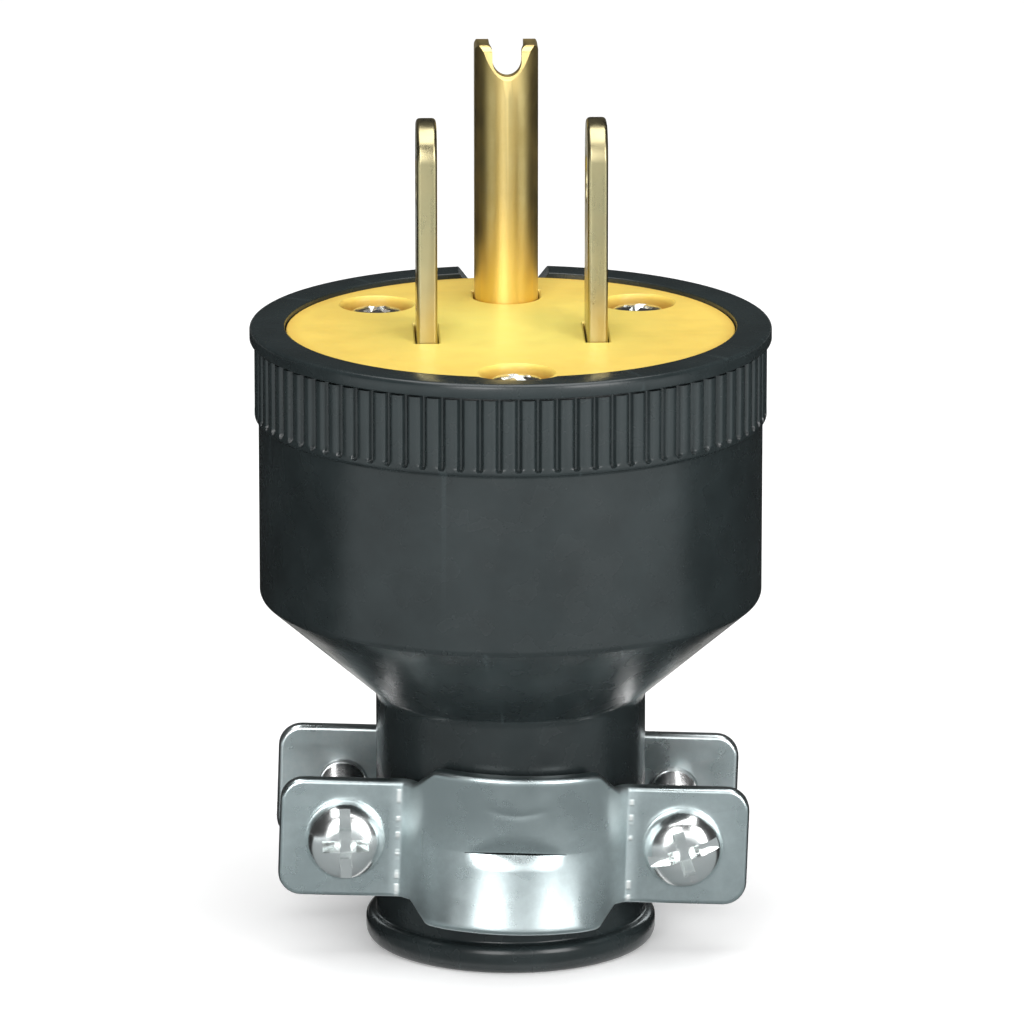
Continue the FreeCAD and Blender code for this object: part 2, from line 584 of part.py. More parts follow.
tongue(pin_notch, "pin_notch_half", "pin_notch_round", "pin_notch_over")
cut(pin, "PinNotchCut", pin_notch, "overcut", True)
pin_foot = new_sketch(pin, "PinFoot", "XY_Plane", {"z": "plate_back"})
polygon(pin_foot, [
    ("-pin_foot_half", "pin_foot_end"),
    ("pin_foot_half", "pin_foot_end"),
    ("pin_foot_half", "pin_front"),
    ("pin_inner", "pin_front"),
    ("pin_inner", "pin_foot_back"),
    ("-pin_inner", "pin_foot_back"),
    ("-pin_inner", "pin_front"),
    ("-pin_foot_half", "pin_front"),
])
pad(pin, "PinFootPad", pin_foot, "blade_thickness")
pin_tapped = new_sketch(pin, "PinTapped", "XY_Plane", {"z": "plate_back"})
circle(pin_tapped, "0", "ground_back", "tapped_radius")
cut(pin, "PinTappedCut", pin_tapped, "blade_thickness", True)


def make_wire_plate(name, left, front, right, back, place_x, place_y):
    """Square plate under a foot, with a hole for the terminal screw."""
    body = new_body(name)
    square = new_sketch(body, name + "_square", "XY_Plane", {"z": "wire_plate_bottom"})
    rectangle(square, left, front, right, back)
    circle(square, place_x, place_y, "wire_plate_hole")
    pad(body, name + "_pad", square, "wire_plate_thickness")
    return body


line_plate = make_wire_plate("line_wire_plate", "-wire_out", "wire_front", "-wire_in", "wire_back",
                             "-terminal_out", "blade_line")
neutral_plate = make_wire_plate("neutral_wire_plate", "wire_in", "wire_front", "wire_out", "wire_back",
                                "terminal_out", "blade_line")
ground_plate = make_wire_plate("ground_wire_plate", "-wire_plate_half", "ground_wire_front", "wire_plate_half",
                               "ground_wire_back", "0", "ground_back")


def turned(name):
    """The name with its sign turned."""
    if name == "0":
        return "0"
    return name[1:] if name.startswith("-") else "-" + name


def cross(sketch):
    """Outline of a cross recess with one longer arm."""
    polygon(sketch, [
        ("drive_half", "drive_half"), ("drive_half", "drive_long"),
        ("-drive_half", "drive_long"), ("-drive_half", "drive_half"),
        ("-drive_short", "drive_half"), ("-drive_short", "-drive_half"),
        ("-drive_half", "-drive_half"), ("-drive_half", "-drive_long"),
        ("drive_half", "-drive_long"), ("drive_half", "-drive_half"),
        ("drive_short", "-drive_half"), ("drive_short", "drive_half"),
    ])


def make_terminal_screw(name, place_x, place_y):
    """Terminal screw, head towards the cord."""
    body = new_body(name)
    shift = {"x": place_x, "y": "wire_plate_bottom", "z": turned(place_y)}
    profile = new_sketch(body, name + "_profile", "XZ_Plane", shift)
    polygon(profile, [
        ("0", "-terminal_head_height"),
        ("terminal_head_radius", "-terminal_head_height"),
        ("terminal_head_radius", "0"),
        ("terminal_shank", "0"),
        ("terminal_shank", "terminal_length"),
        ("0", "terminal_length"),
    ])
    revolve(body, name + "_turn", profile)
    drive = new_sketch(body, name + "_drive", "XY_Plane",
                       {"x": place_x, "y": place_y, "z": "terminal_head_end"})
    rectangle(drive, "-terminal_over", "-drive_half", "terminal_over", "drive_half")
    cut(body, name + "_drive_cut", drive, "drive_depth", True)
    return body


line_screw = make_terminal_screw("line_terminal_screw", "-terminal_out", "blade_line")
neutral_screw = make_terminal_screw("neutral_terminal_screw", "terminal_out", "blade_line")
ground_screw = make_terminal_screw("ground_terminal_screw", "0", "ground_back")


def make_face_screw(name, place_x, place_y):
    """Screw from the face into the terminal block."""
    body = new_body(name)
    shift = {"x": place_x, "y": "face_seat", "z": turned(place_y)}
    profile = new_sketch(body, name + "_profile", "XZ_Plane", shift)
    polygon(profile, [
        ("0", "face_head_height"),
        ("face_head_radius", "face_head_height"),
        ("face_head_radius", "0"),
        ("face_shank", "0"),
        ("face_shank", "-face_length"),
        ("0", "-face_length"),
    ])
    revolve(body, name + "_turn", profile)
    return body


face_screw_bodies = []
for index, (place_x, place_y) in enumerate(FACE_SCREWS, 1):
    face_screw_bodies.append(make_face_screw("face_screw_%d" % index, place_x, place_y))
face_screws = doc.addObject("Part::Compound", "face_screws")
face_screws.Links = face_screw_bodies


def set_on_neck(body):
    """Moves a clamp piece to the neck, with the slant of the fitted clamp."""
    body.Placement = FreeCAD.Placement(vector(0, 0, number("clamp_height")),
                                       FreeCAD.Rotation(vector(0, 1, 0), number("clamp_tilt")))
    body.setExpression("Placement.Base.z", "Sizes.clamp_height")
    body.setExpression("Placement.Rotation.Angle", "Sizes.clamp_tilt")


def make_clamp_half(name, front):
    """Formed strap: a saddle over the neck with a flat ear on each side."""
    body = new_body(name)
    side = "-" if front else ""
    face = number(side + "ear_face")
    back = number(side + "ear_back")
    end = number("ear_end")
    outer = number("saddle_outer")
    inner = number("saddle_inner")
    outer_x = (outer ** 2 - face ** 2) ** 0.5
    inner_x = (inner ** 2 - back ** 2) ** 0.5
    section = new_sketch(body, name + "_section", "XY_Plane", {"z": "-saddle_half"})
    crown = -1 if front else 1
    origin = vector(0, 0, 0)
    for start_x, start_y, top in ((outer_x, face, outer), (inner_x, back, inner)):
        points = [vector(-start_x, start_y, 0), vector(0, crown * top, 0), vector(start_x, start_y, 0)]
        section.addGeometry(Part.Arc(points[0], points[1], points[2]), False)
    lines = [
        (vector(outer_x, face, 0), vector(end, face, 0)),
        (vector(end, face, 0), vector(end, back, 0)),
        (vector(end, back, 0), vector(inner_x, back, 0)),
        (vector(-outer_x, face, 0), vector(-end, face, 0)),
        (vector(-end, face, 0), vector(-end, back, 0)),
        (vector(-end, back, 0), vector(-inner_x, back, 0)),
    ]
    for start, stop in lines:
        section.addGeometry(Part.LineSegment(start, stop), False)
    right_end = 2 if front else 1
    left_end = 1 if front else 2
    joins = [(2, 1, 0, right_end), (2, 2, 3, 1), (3, 2, 4, 1), (4, 2, 1, right_end),
             (5, 1, 0, left_end), (5, 2, 6, 1), (6, 2, 7, 1), (7, 2, 1, left_end)]
    for one, one_end, other, other_end in joins:
        section.addConstraint(Sketcher.Constraint("Coincident", one, one_end, other, other_end))
    for arc, radius in ((0, "saddle_outer"), (1, "saddle_inner")):
        section.addConstraint(Sketcher.Constraint("Coincident", arc, 3, -1, 1))
        set_radius(section, arc, radius)
    for flat in (2, 4, 5, 7):
        section.addConstraint(Sketcher.Constraint("Horizontal", flat))
    pin_point(section, 3, 1, "ear_end", side + "ear_face")
    pin_point(section, 3, 2, "ear_end", side + "ear_back")
    pin_point(section, 6, 1, "-ear_end", side + "ear_face")
    pin_point(section, 6, 2, "-ear_end", side + "ear_back")
    pad(body, name + "_strip", section, "saddle_height")
    dress(body, name + "_bend_in", "Fillet", "bend_inside", lambda e: (
        near(e.BoundBox.XLength, "0") and near(e.BoundBox.YLength, "0")
        and near(e.BoundBox.YMin, side + "ear_face") and abs(e.BoundBox.XMin) < end - 1))
    dress(body, name + "_bend_out", "Fillet", "bend_outside", lambda e: (
        near(e.BoundBox.XLength, "0") and near(e.BoundBox.YLength, "0")
        and near(e.BoundBox.YMin, side + "ear_back") and abs(e.BoundBox.XMin) < end - 1))
    corners = new_sketch(body, name + "_corners", "XZ_Plane", {"z": "ear_end" if front else "-ear_end"})
    for way in ("", "-"):
        for up in ("", "-"):
            polygon(corners, [
                (way + "saddle_corner", up + "saddle_half"),
                (way + "saddle_slope", up + "ear_half"),
                (way + "ear_over", up + "ear_half"),
                (way + "ear_over", up + "saddle_over"),
                (way + "saddle_corner", up + "saddle_over"),
            ])
    cut(body, name + "_corners_cut", corners, "overcut", not front)
    dress(body, name + "_ear_round", "Fillet", "ear_round", lambda e: (
        near(e.BoundBox.XLength, "0") and near(e.BoundBox.ZLength, "0")
        and near(abs(e.BoundBox.XMin), "ear_end") and near(abs(e.BoundBox.ZMin), "ear_half")))
    openings = new_sketch(body, name + "_openings", "XZ_Plane", {"z": "ear_end" if front else "-ear_end"})
    hole = "clamp_hole" if front else "clamp_tapped"
    circle(openings, "clamp_screw_side", "0", hole)
    circle(openings, "-clamp_screw_side", "0", hole)
    rectangle(openings, "-slit_half", "-slit_edge", "slit_half", "slit_edge")
    cut(body, name + "_openings_cut", openings, "overcut", not front)
    set_on_neck(body)
    doc.recompute()
    return body


clamp_front = make_clamp_half("clamp_front_half", True)
clamp_rear = make_clamp_half("clamp_rear_half", False)


def make_clamp_screw(name, place_x):
    """Screw from the front ear into the tapped rear ear."""
    body = new_body(name)
    profile = new_sketch(body, name + "_profile", "XY_Plane", {"x": place_x})
    polygon(profile, [
        ("0", "-clamp_head_end"),
        ("clamp_head_radius", "-clamp_head_end"),
        ("clamp_head_radius", "-ear_face"),
        ("clamp_shank", "-ear_face"),
        ("clamp_shank", "clamp_end"),
        ("0", "clamp_end"),
    ])
    revolve(body, name + "_turn", profile)
    drive = new_sketch(body, name + "_drive", "XZ_Plane", {"x": place_x, "z": "clamp_head_end"})
    cross(drive)
    cut(body, name + "_drive_cut", drive, "drive_depth", False)
    set_on_neck(body)
    doc.recompute()
    return body


clamp_screw_bodies = [make_clamp_screw("clamp_screw_left", "-clamp_screw_side"),
                      make_clamp_screw("clamp_screw_right", "clamp_screw_side")]
clamp_screws = doc.addObject("Part::Compound", "clamp_screws")
clamp_screws.Links = clamp_screw_bodies
doc.recompute()

NODES = [shell, plate, block, line_blade, neutral_blade, pin, line_plate, neutral_plate, ground_plate,
         line_screw, neutral_screw, ground_screw, face_screws, clamp_front, clamp_rear, clamp_screws]

for item in doc.Objects:
    if "Invalid" in item.State or "Touched" in item.State or not item.isValid():
        raise RuntimeError("%s is in state %s" % (item.Name, item.State))
    shape = getattr(item, "Shape", None)
    if shape is not None and not shape.isNull() and not shape.isValid():
        raise RuntimeError(item.Name + " has a bad shape")

os.makedirs("parts", exist_ok=True)
for node in NODES:
    solids = node.Shape.Solids
    expected = len(node.Links) if node.TypeId == "Part::Compound" else 1
    if len(solids) != expected:
        raise RuntimeError("%s has %d solids" % (node.Name, len(solids)))
    for solid in solids:
        if solid.Volume <= 0:
            raise RuntimeError(node.Name + " has no volume")
    node.Shape.exportStep("parts/%s.step" % node.Name)
    box = node.Shape.BoundBox
    print("%-22s solids %d volume %9.2f  x %.2f %.2f  y %.2f %.2f  z %.2f %.2f" % (
        node.Name, len(solids), node.Shape.Volume, box.XMin, box.XMax, box.YMin, box.YMax, box.ZMin, box.ZMax))
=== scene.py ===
import math

import bmesh
import bpy
from bmesh.types import BMEdge, BMFace, BMVert
from mathutils import Matrix, Vector


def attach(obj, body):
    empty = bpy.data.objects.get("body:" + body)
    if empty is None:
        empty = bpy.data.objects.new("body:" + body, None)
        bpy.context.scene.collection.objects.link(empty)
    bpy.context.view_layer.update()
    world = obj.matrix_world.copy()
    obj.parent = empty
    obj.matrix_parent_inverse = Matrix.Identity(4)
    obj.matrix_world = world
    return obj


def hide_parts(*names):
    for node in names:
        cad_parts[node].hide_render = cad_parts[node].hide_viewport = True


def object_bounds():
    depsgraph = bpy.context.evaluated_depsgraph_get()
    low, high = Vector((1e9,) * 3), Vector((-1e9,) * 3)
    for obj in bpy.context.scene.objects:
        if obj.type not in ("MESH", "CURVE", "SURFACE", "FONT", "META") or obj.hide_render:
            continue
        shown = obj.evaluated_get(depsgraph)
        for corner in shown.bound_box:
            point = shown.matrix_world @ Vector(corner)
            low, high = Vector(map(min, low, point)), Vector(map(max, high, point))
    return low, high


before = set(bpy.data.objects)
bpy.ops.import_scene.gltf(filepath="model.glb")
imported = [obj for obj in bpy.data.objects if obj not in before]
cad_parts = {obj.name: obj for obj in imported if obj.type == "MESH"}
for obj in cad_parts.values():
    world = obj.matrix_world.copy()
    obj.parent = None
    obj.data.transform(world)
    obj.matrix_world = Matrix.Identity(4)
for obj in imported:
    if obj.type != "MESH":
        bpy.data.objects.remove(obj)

bl_info = {
    "name": "Rewireable rubber plug",
    "version": (1, 0, 0),
    "blender": (4, 5, 0),
    "location": "3D View > Sidebar > Plug",
    "description": "Builds the visual pieces of a rewireable rubber plug on its loaded frame",
    "category": "Add Mesh",
}

MM = 0.001
TINY = 0.000001
CENTRE = Vector((0.0, 0.0, 0.0))
AXIS = Vector((0.0, 0.0, 1.0))
CAD_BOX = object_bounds()

# how far a cutter reaches past the piece that it cuts
PAST = 1.0 * MM

# how far the edges of the slots in the face are broken
SLOT_EDGE = 0.12 * MM

# how far the ground pin ends under its full height
TIP_PLAY = 0.03 * MM

# how fine the brush lines are along each axis, on upright sheet and on turned or flat pieces
UPRIGHT_BRUSH = (2600.0, 2600.0, 120.0)
CROSS_BRUSH = (160.0, 1800.0, 1800.0)

# half of a rib groove from its middle: part of the half width, part of the depth, first row that is sunk
GROOVE = (
    (0.0, 1.0, 1),
    (0.4, 0.94, 1),
    (0.76, 0.58, 2),
    (1.08, 0.26, 3),
    (1.52, 0.11, 3),
    (2.1, 0.03, 3),
)

# rows of a clamp half as parts of the saddle's half height, closer at the slit and at the dent
SHEET_ROWS = (
    -1.0, -0.9, -0.8, -0.7, -0.6, -0.5, -0.4, -0.3, -0.21, -0.11, -0.008, 0.008, 0.04, 0.07, 0.1, 0.14,
    0.2, 0.28, 0.36, 0.42, 0.45, 0.48, 0.51, 0.54, 0.57, 0.6, 0.65, 0.72, 0.8, 0.9, 1.0,
)


# properties

def length(name, description, millimetres):
    """A length that a user may change, given in millimetres."""
    return bpy.props.FloatProperty(
        name=name, description=description, default=millimetres * MM, min=0.0, precision=5,
        subtype="DISTANCE", unit="LENGTH")


def turn(name, description, degrees):
    """An angle that a user may change, given in degrees."""
    return bpy.props.FloatProperty(
        name=name, description=description, default=math.radians(degrees), subtype="ANGLE", unit="ROTATION")


def colour(name, description, value):
    """A colour that a user may change, in linear light."""
    return bpy.props.FloatVectorProperty(
        name=name, description=description, default=value, size=3, min=0.0, max=1.0, subtype="COLOR")


def level(name, description, value):
    """A plain number that a user may change."""
    return bpy.props.FloatProperty(name=name, description=description, default=value, min=0.0)


class PlugShell(bpy.types.PropertyGroup):
    flange_radius: length("Flange radius", "Cord flange at the foot", 11.0)
    flange_height: length("Flange height", "Cord flange at the foot", 2.2)
    neck_radius: length("Neck radius", "Neck under the clamp", 10.2)
    neck_height: length("Neck height", "Height where the cone starts", 19.5)
    shell_radius: length("Shell radius", "Plain cylinder under the ribs", 18.95)
    corner_height: length("Corner height", "Lower corner of the shell", 27.1)
    cone_shift: length("Cone shift", "How far the middle row of the cone lies out and up", 0.216)
    rib_count: bpy.props.IntProperty(
        name="Rib count", description="Ribs round the grip band", default=84, min=12, max=120)
    rib_radius: length("Rib radius", "Top of the ribs", 19.25)
    rib_foot: length("Rib foot", "Height where the rib band starts", 40.75)
    rib_gap: length("Rib gap", "Width of a groove", 0.5)
    rib_depth: length("Rib depth", "Depth of a groove", 0.42)
    rim_radius: length("Rim radius", "Ring round the face", 19.598)
    rim_band: length("Rim band", "Height of the ring", 1.1)
    rim_height: length("Rim height", "Top of the ring", 47.8)
    rim_round: length("Rim round", "Outer edge of the ring", 0.32)
    lip_radius: length("Lip radius", "Inner edge of the rim", 16.95)
    cord_radius: length("Cord radius", "Cord entry", 6.0)
    inside_radius: length("Inside radius", "Hollow of the shell", 15.9)
    inside_floor: length("Inside floor", "Height of the floor of the hollow", 27.0)
    key_radius: length("Key radius", "Relief in the wall at the front screw", 3.2)
    key_foot: length("Key foot", "Height where that relief starts", 32.7)
    notch_top: length("Notch top", "Half width of the rear notch at its top", 3.46)
    notch_floor: length("Notch floor", "Half width of the rear notch at its floor", 2.55)
    notch_depth: length("Notch depth", "Rear notch in the rim", 1.2)


class PlugFace(bpy.types.PropertyGroup):
    height: length("Face height", "Top of the face plate", 47.45)
    thickness: length("Thickness", "Face plate", 4.0)
    step: length("Step", "Edge under the lip below the face", 1.15)
    radius: length("Face radius", "Raised face", 16.85)
    plate_radius: length("Plate radius", "Edge under the lip", 17.7)
    lobe_radius: length("Lobe radius", "Lobe round the front screw", 3.8)
    edge: length("Edge", "Round on the edges of the face", 0.16)
    sink_radius: length("Sink radius", "Recess round a face screw", 2.7)
    sink_depth: length("Sink depth", "Recess round a face screw", 1.55)
    screw_hole: length("Screw hole", "Radius of the hole for a face screw", 1.5)
    screw_front: length("Front screw", "Distance of the front screw from the axis", 14.2)
    screw_back: length("Back screws", "Distance of the back screws in depth", 8.0)
    screw_side: length("Side screws", "Distance of the back screws to the side", 9.9)


class PlugPins(bpy.types.PropertyGroup):
    blade_spacing: length("Blade spacing", "Centres of the blades", 12.7)
    blade_thickness: length("Blade thickness", "Sheet of a blade", 1.52)
    blade_width: length("Blade width", "Flat of a blade", 6.35)
    blade_shift: length("Blade shift", "Blades in front of the axis", 1.6)
    blade_tip: length("Blade tip", "Height of the blade tips", 63.75)
    blade_round: length("Blade round", "Corners of a blade tip", 2.7)
    blade_hole: length("Blade hole", "Radius of the hole near the tip", 1.8)
    blade_hole_drop: length("Hole drop", "Hole under the tip", 4.6)
    pin_back: length("Pin place", "Centre of the ground pin behind the axis", 10.29)
    pin_radius: length("Pin radius", "Round of the ground pin", 2.41)
    pin_sheet: length("Pin sheet", "Sheet of the ground pin", 1.1)
    pin_leg: length("Pin leg", "Legs behind the round", 2.0)
    pin_tip: length("Pin tip", "Height of the ground pin", 67.25)
    pin_notch: length("Pin notch", "Half width of the notch in the tip", 1.1)
    pin_notch_depth: length("Notch depth", "Notch in the tip", 2.3)
    pin_coin: length("Coined flat", "Flat on the front of the tip", 2.6)
    foot_height: length("Foot height", "Underside of the feet", 43.45)
    foot_side: length("Foot side", "Outer end of a blade's foot from the axis", 13.9)
    foot_front: length("Foot front", "Front edge of a blade's foot in front of the axis", 5.8)
    foot_back: length("Foot back", "Back edge of a blade's foot behind the axis", 2.6)
    foot_hole: length("Foot hole", "Radius of the screw hole in a foot", 1.8)
    foot_hole_side: length("Foot hole side", "Screw hole in a blade's foot from the axis", 10.1)
    ground_half: length("Ground foot half", "Half width of the ground pin's foot", 4.1)
    ground_front: length("Ground foot front", "Front edge of the ground pin's foot behind the axis", 0.9)
    ground_hole: length("Ground foot hole", "Screw hole in the ground pin's foot behind the axis", 4.9)


class PlugClamp(bpy.types.PropertyGroup):
    height: length("Clamp height", "Middle of the clamp", 9.55)
    tilt: turn("Clamp tilt", "Slant of the fitted clamp, right end down", 2.0)
    sheet: length("Sheet", "Steel of the clamp", 1.2)
    saddle_inner: length("Saddle radius", "Inside of the saddle", 10.45)
    saddle_half: length("Saddle half height", "Half height of the saddle", 6.05)
    saddle_corner: length("Saddle corner", "Where the saddle starts to narrow", 5.9)
    ear_face: length("Ear face", "Outer face of an ear from the axis", 7.97)
    ear_end: length("Ear end", "End of an ear", 17.65)
    ear_half: length("Ear half height", "Half height of an ear", 4.55)
    ear_round: length("Ear round", "Corners of an ear", 1.75)
    bend: length("Bend", "Middle radius of a bend", 1.0)
    slit_half: length("Slit half length", "Half length of the grip slit", 3.6)
    slit_press: length("Slit press", "How far the upper lip is pressed in", 0.36)
    slit_lens: length("Slit lens", "How far the upper lip is bent up in the middle", 0.13)
    lower_flare: length("Lower flare", "How far the lower edge of the saddle stands out", 0.95)
    hole: length("Hole", "Clearance hole in a front ear", 2.05)
    tapped_hole: length("Tapped hole", "Hole in a rear ear", 1.8)


class PlugScrews(bpy.types.PropertyGroup):
    clamp_side: length("Clamp screws", "Distance of the clamp screws to the side", 12.7)
    clamp_head: length("Clamp head radius", "Head of a clamp screw", 3.04)
    clamp_head_height: length("Clamp head height", "Head of a clamp screw", 2.2)
    clamp_shank: length("Clamp shank", "Radius over the thread", 1.75)
    clamp_length: length("Clamp length", "Length under the head", 19.0)
    clamp_pitch: length("Clamp pitch", "Pitch of the thread", 0.79)
    left_turn: turn("Left slot", "Turn of the left slot from upright", 3.0)
    right_turn: turn("Right slot", "Turn of the right slot from upright", -72.0)
    face_head: length("Face head radius", "Head of a face screw", 2.1)
    face_head_height: length("Face head height", "Head of a face screw", 1.3)
    face_head_top: length("Face head top", "Height of the face screw heads", 47.2)
    face_shank: length("Face shank", "Radius of a face screw", 1.3)
    face_length: length("Face length", "Length under the head", 10.0)


class PlugFinish(bpy.types.PropertyGroup):
    rubber: colour("Rubber", "Moulded shell", (0.0165, 0.0225, 0.0235))
    face: colour("Face", "Face plate", (0.91, 0.66, 0.14))
    block: colour("Block", "Terminal block", (0.035, 0.033, 0.03))
    blade: colour("Blade", "Flat blades", (0.42, 0.37, 0.21))
    pin: colour("Ground pin", "Ground pin", (0.68, 0.53, 0.225))
    brass: colour("Brass", "Wire plates and line screw", (0.72, 0.52, 0.20))
    nickel: colour("Nickel", "Neutral screw and plate", (0.62, 0.60, 0.55))
    green: colour("Green", "Ground screw", (0.03, 0.22, 0.07))
    sheet: colour("Clamp zinc", "Clamp sheet", (0.56, 0.64, 0.65))
    screw: colour("Screw zinc", "Screws", (0.97, 0.99, 0.985))


class PlugStage(bpy.types.PropertyGroup):
    distance: length("Distance", "Camera to target", 700.0)
    elevation: turn("Elevation", "Camera over the horizon", 14.544)
    azimuth: turn("Azimuth", "Camera round the plug", -1.809)
    target_height: length("Target height", "Height of the point looked at", 33.164)
    sideways: length("Sideways", "Camera moved to the right", 0.104)
    lens: bpy.props.FloatProperty(
        name="Lens", description="Focal length of the camera in millimetres", default=326.4, min=1.0)
    top_light: level("Top light", "Strength of the top panel", 1.0)
    front_light: level("Front light", "Strength of the front panels", 1.0)
    fill_light: level("Fill light", "Strength of the surroundings", 0.04)
    floor: colour("Floor", "Floor under the plug", (0.88, 0.88, 0.88))
    card: colour("Card", "Grey card that the plug mirrors in front", (0.59, 0.64, 0.65))
    card_half: turn("Card half", "Half the angle that the grey card takes up", 78.0)


# mesh helpers

def flat_face(bm, points):
    """One flat face through the points."""
    return bm.faces.new([bm.verts.new(point) for point in points])


def round_corner(bm, vertex, size, steps):
    """Round one corner of a flat face."""
    bmesh.ops.bevel(
        bm, geom=[vertex], offset=size, offset_type="OFFSET", segments=steps, profile=0.5,
        affect="VERTICES", clamp_overlap=True, material=-1)


def soften(bm, edges, size, steps):
    """Round the given edges."""
    if not edges:
        raise RuntimeError("no edges to round")
    bmesh.ops.bevel(
        bm, geom=edges, offset=size, offset_type="OFFSET", segments=steps, profile=0.5,
        affect="EDGES", clamp_overlap=True, material=-1)


def half_section(bm, corners):
    """Edges of a half section, from corners of radius, height, round and steps."""
    face = flat_face(bm, [(corner[0], 0.0, corner[1]) for corner in corners])
    for vertex, corner in zip(list(face.verts), corners):
        if len(corner) > 2:
            round_corner(bm, vertex, corner[2], corner[3])
    bmesh.ops.delete(bm, geom=list(bm.faces), context="FACES_ONLY")
    return list(bm.verts) + list(bm.edges)


def close_up(bm):
    """Join what meets and turn every face outwards."""
    bmesh.ops.remove_doubles(bm, verts=list(bm.verts), dist=TINY)
    bmesh.ops.recalc_face_normals(bm, faces=list(bm.faces))


def lathe(corners, steps, place=None):
    """A piece turned round Z from a half section that starts and ends on the axis."""
    bm = bmesh.new()
    half_section(bm, corners)
    on_axis = [edge for edge in bm.edges if all(vertex.co.x < TINY for vertex in edge.verts)]
    bmesh.ops.delete(bm, geom=on_axis, context="EDGES")
    bmesh.ops.spin(
        bm, geom=list(bm.verts) + list(bm.edges), cent=CENTRE, axis=AXIS, dvec=CENTRE,
        angle=math.tau, steps=steps, use_merge=True, use_duplicate=False)
    close_up(bm)
    if place is not None:
        bmesh.ops.transform(bm, matrix=place, verts=list(bm.verts))
    return bm


def block(low, high):
    """A box between two corners."""
    bm = bmesh.new()
    low = Vector(low)
    high = Vector(high)
    size = high - low
    place = Matrix.Translation((low + high) / 2) @ Matrix.Diagonal((size.x, size.y, size.z, 1.0))
    bmesh.ops.create_cube(bm, size=1.0, matrix=place)
    return bm


def drill(radius, low, high, steps, place):
    """A plain round cutter between two heights."""
    return lathe([(0.0, low), (radius, low), (radius, high), (0.0, high)], steps, place)


def arc(across, height, radius, first, last, steps):
    """Points of an arc from one angle to another."""
    turns = [first + (last - first) * step / steps for step in range(steps + 1)]
    return [(across + radius * math.cos(angle), height + radius * math.sin(angle)) for angle in turns]


def only(kind, items):
    """The vertices, the edges or the faces among mixed items."""
    return [item for item in items if isinstance(item, kind)]


def draw_out(bm, faces, along):
    """Draw faces out along a vector and give all that was made."""
    made = bmesh.ops.extrude_face_region(bm, geom=faces)["geom"]
    bmesh.ops.translate(bm, vec=along, verts=only(BMVert, made))
    return made


def draw_up(bm, line, rises):
    """Draw a line of edges up by one rise after the other."""
    for rise in rises:
        made = bmesh.ops.extrude_edge_only(bm, edges=line)["geom"]
        verts = only(BMVert, made)
        line = [edge for edge in only(BMEdge, made) if all(vertex in verts for vertex in edge.verts)]
        bmesh.ops.translate(bm, vec=(0.0, 0.0, rise), verts=verts)


def swing(bm, vertex, centre, angle, steps):
    """Draw a vertex out to a line round a centre and give the line's last vertex."""
    swept = bmesh.ops.spin(
        bm, geom=[vertex], cent=centre, axis=AXIS, dvec=CENTRE, angle=angle, steps=steps, use_duplicate=False)
    return only(BMVert, swept["geom_last"])[0]


def prism(points, along):
    """A flat outline drawn out along a vector."""
    bm = bmesh.new()
    draw_out(bm, [flat_face(bm, points)], along)
    close_up(bm)
    return bm


def flip_over(bm, signs):
    """Mirror a mesh and keep its faces pointing outwards."""
    bmesh.ops.scale(bm, vec=signs, verts=list(bm.verts))
    bmesh.ops.reverse_faces(bm, faces=list(bm.faces))


def together(*parts):
    """Several meshes as one."""
    whole = bmesh.new()
    for part in parts:
        mesh = bpy.data.meshes.new("part")
        part.to_mesh(mesh)
        part.free()
        whole.from_mesh(mesh)
        bpy.data.meshes.remove(mesh)
    return whole


def as_object(name, bm):
    """A linked object that takes over a mesh."""
    mesh = bpy.data.meshes.new(name)
    bm.to_mesh(mesh)
    bm.free()
    obj = bpy.data.objects.new(name, mesh)
    bpy.context.scene.collection.objects.link(obj)
    return obj


def opened(obj):
    """The mesh of an object, open for changes."""
    bm = bmesh.new()
    bm.from_mesh(obj.data)
    return bm


def put_back(bm, obj):
    """Write a changed mesh back to its object."""
    bm.to_mesh(obj.data)
    bm.free()


def settle(obj):
    """Apply the modifiers of an object to its mesh."""
    graph = bpy.context.evaluated_depsgraph_get()
    made = bpy.data.meshes.new_from_object(obj.evaluated_get(graph))
    old = obj.data
    obj.modifiers.clear()
    obj.data = made
    name = old.name
    bpy.data.meshes.remove(old)
    made.name = name


def thicken(obj, sheet):
    """Give a middle surface the thickness of its sheet."""
    wall = obj.modifiers.new("wall", "SOLIDIFY")
    wall.thickness = sheet
    wall.offset = 0.0
    wall.use_even_offset = True
    settle(obj)


def carve(obj, cutter, operation="DIFFERENCE"):
    """Cut a mesh out of an object, add it, or keep only what both share."""
    tool = as_object("cutter", cutter)
    change = obj.modifiers.new("carve", "BOOLEAN")
    change.solver = "EXACT"
    change.operation = operation
    change.object = tool
    settle(obj)
    mesh = tool.data
    bpy.data.objects.remove(tool)
    bpy.data.meshes.remove(mesh)


def rework(obj, pick, size, steps):
    """Round the edges of an object that a test picks."""
    bm = opened(obj)
    bmesh.ops.remove_doubles(bm, verts=list(bm.verts), dist=TINY)
    soften(bm, [edge for edge in bm.edges if edge.is_manifold and pick(edge)], size, steps)
    put_back(bm, obj)


def hand_over(obj, material, slot, *nodes, sharp=35.0):
    """Shade a finished piece, give it its material and put it on the frame."""
    mesh = obj.data
    mesh.materials.clear()
    mesh.materials.append(material)
    for polygon in mesh.polygons:
        polygon.use_smooth = True
    mesh.set_sharp_from_angle(angle=math.radians(sharp))
    weighted = obj.modifiers.new("weighted", "WEIGHTED_NORMAL")
    weighted.keep_sharp = True
    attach(obj, "root")
    if nodes:
        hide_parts(*nodes)


def is_sharp(edge, degrees=45.0):
    """Whether the two faces at an edge turn by more than an angle."""
    return edge.calc_face_angle(0.0) > math.radians(degrees)


# materials

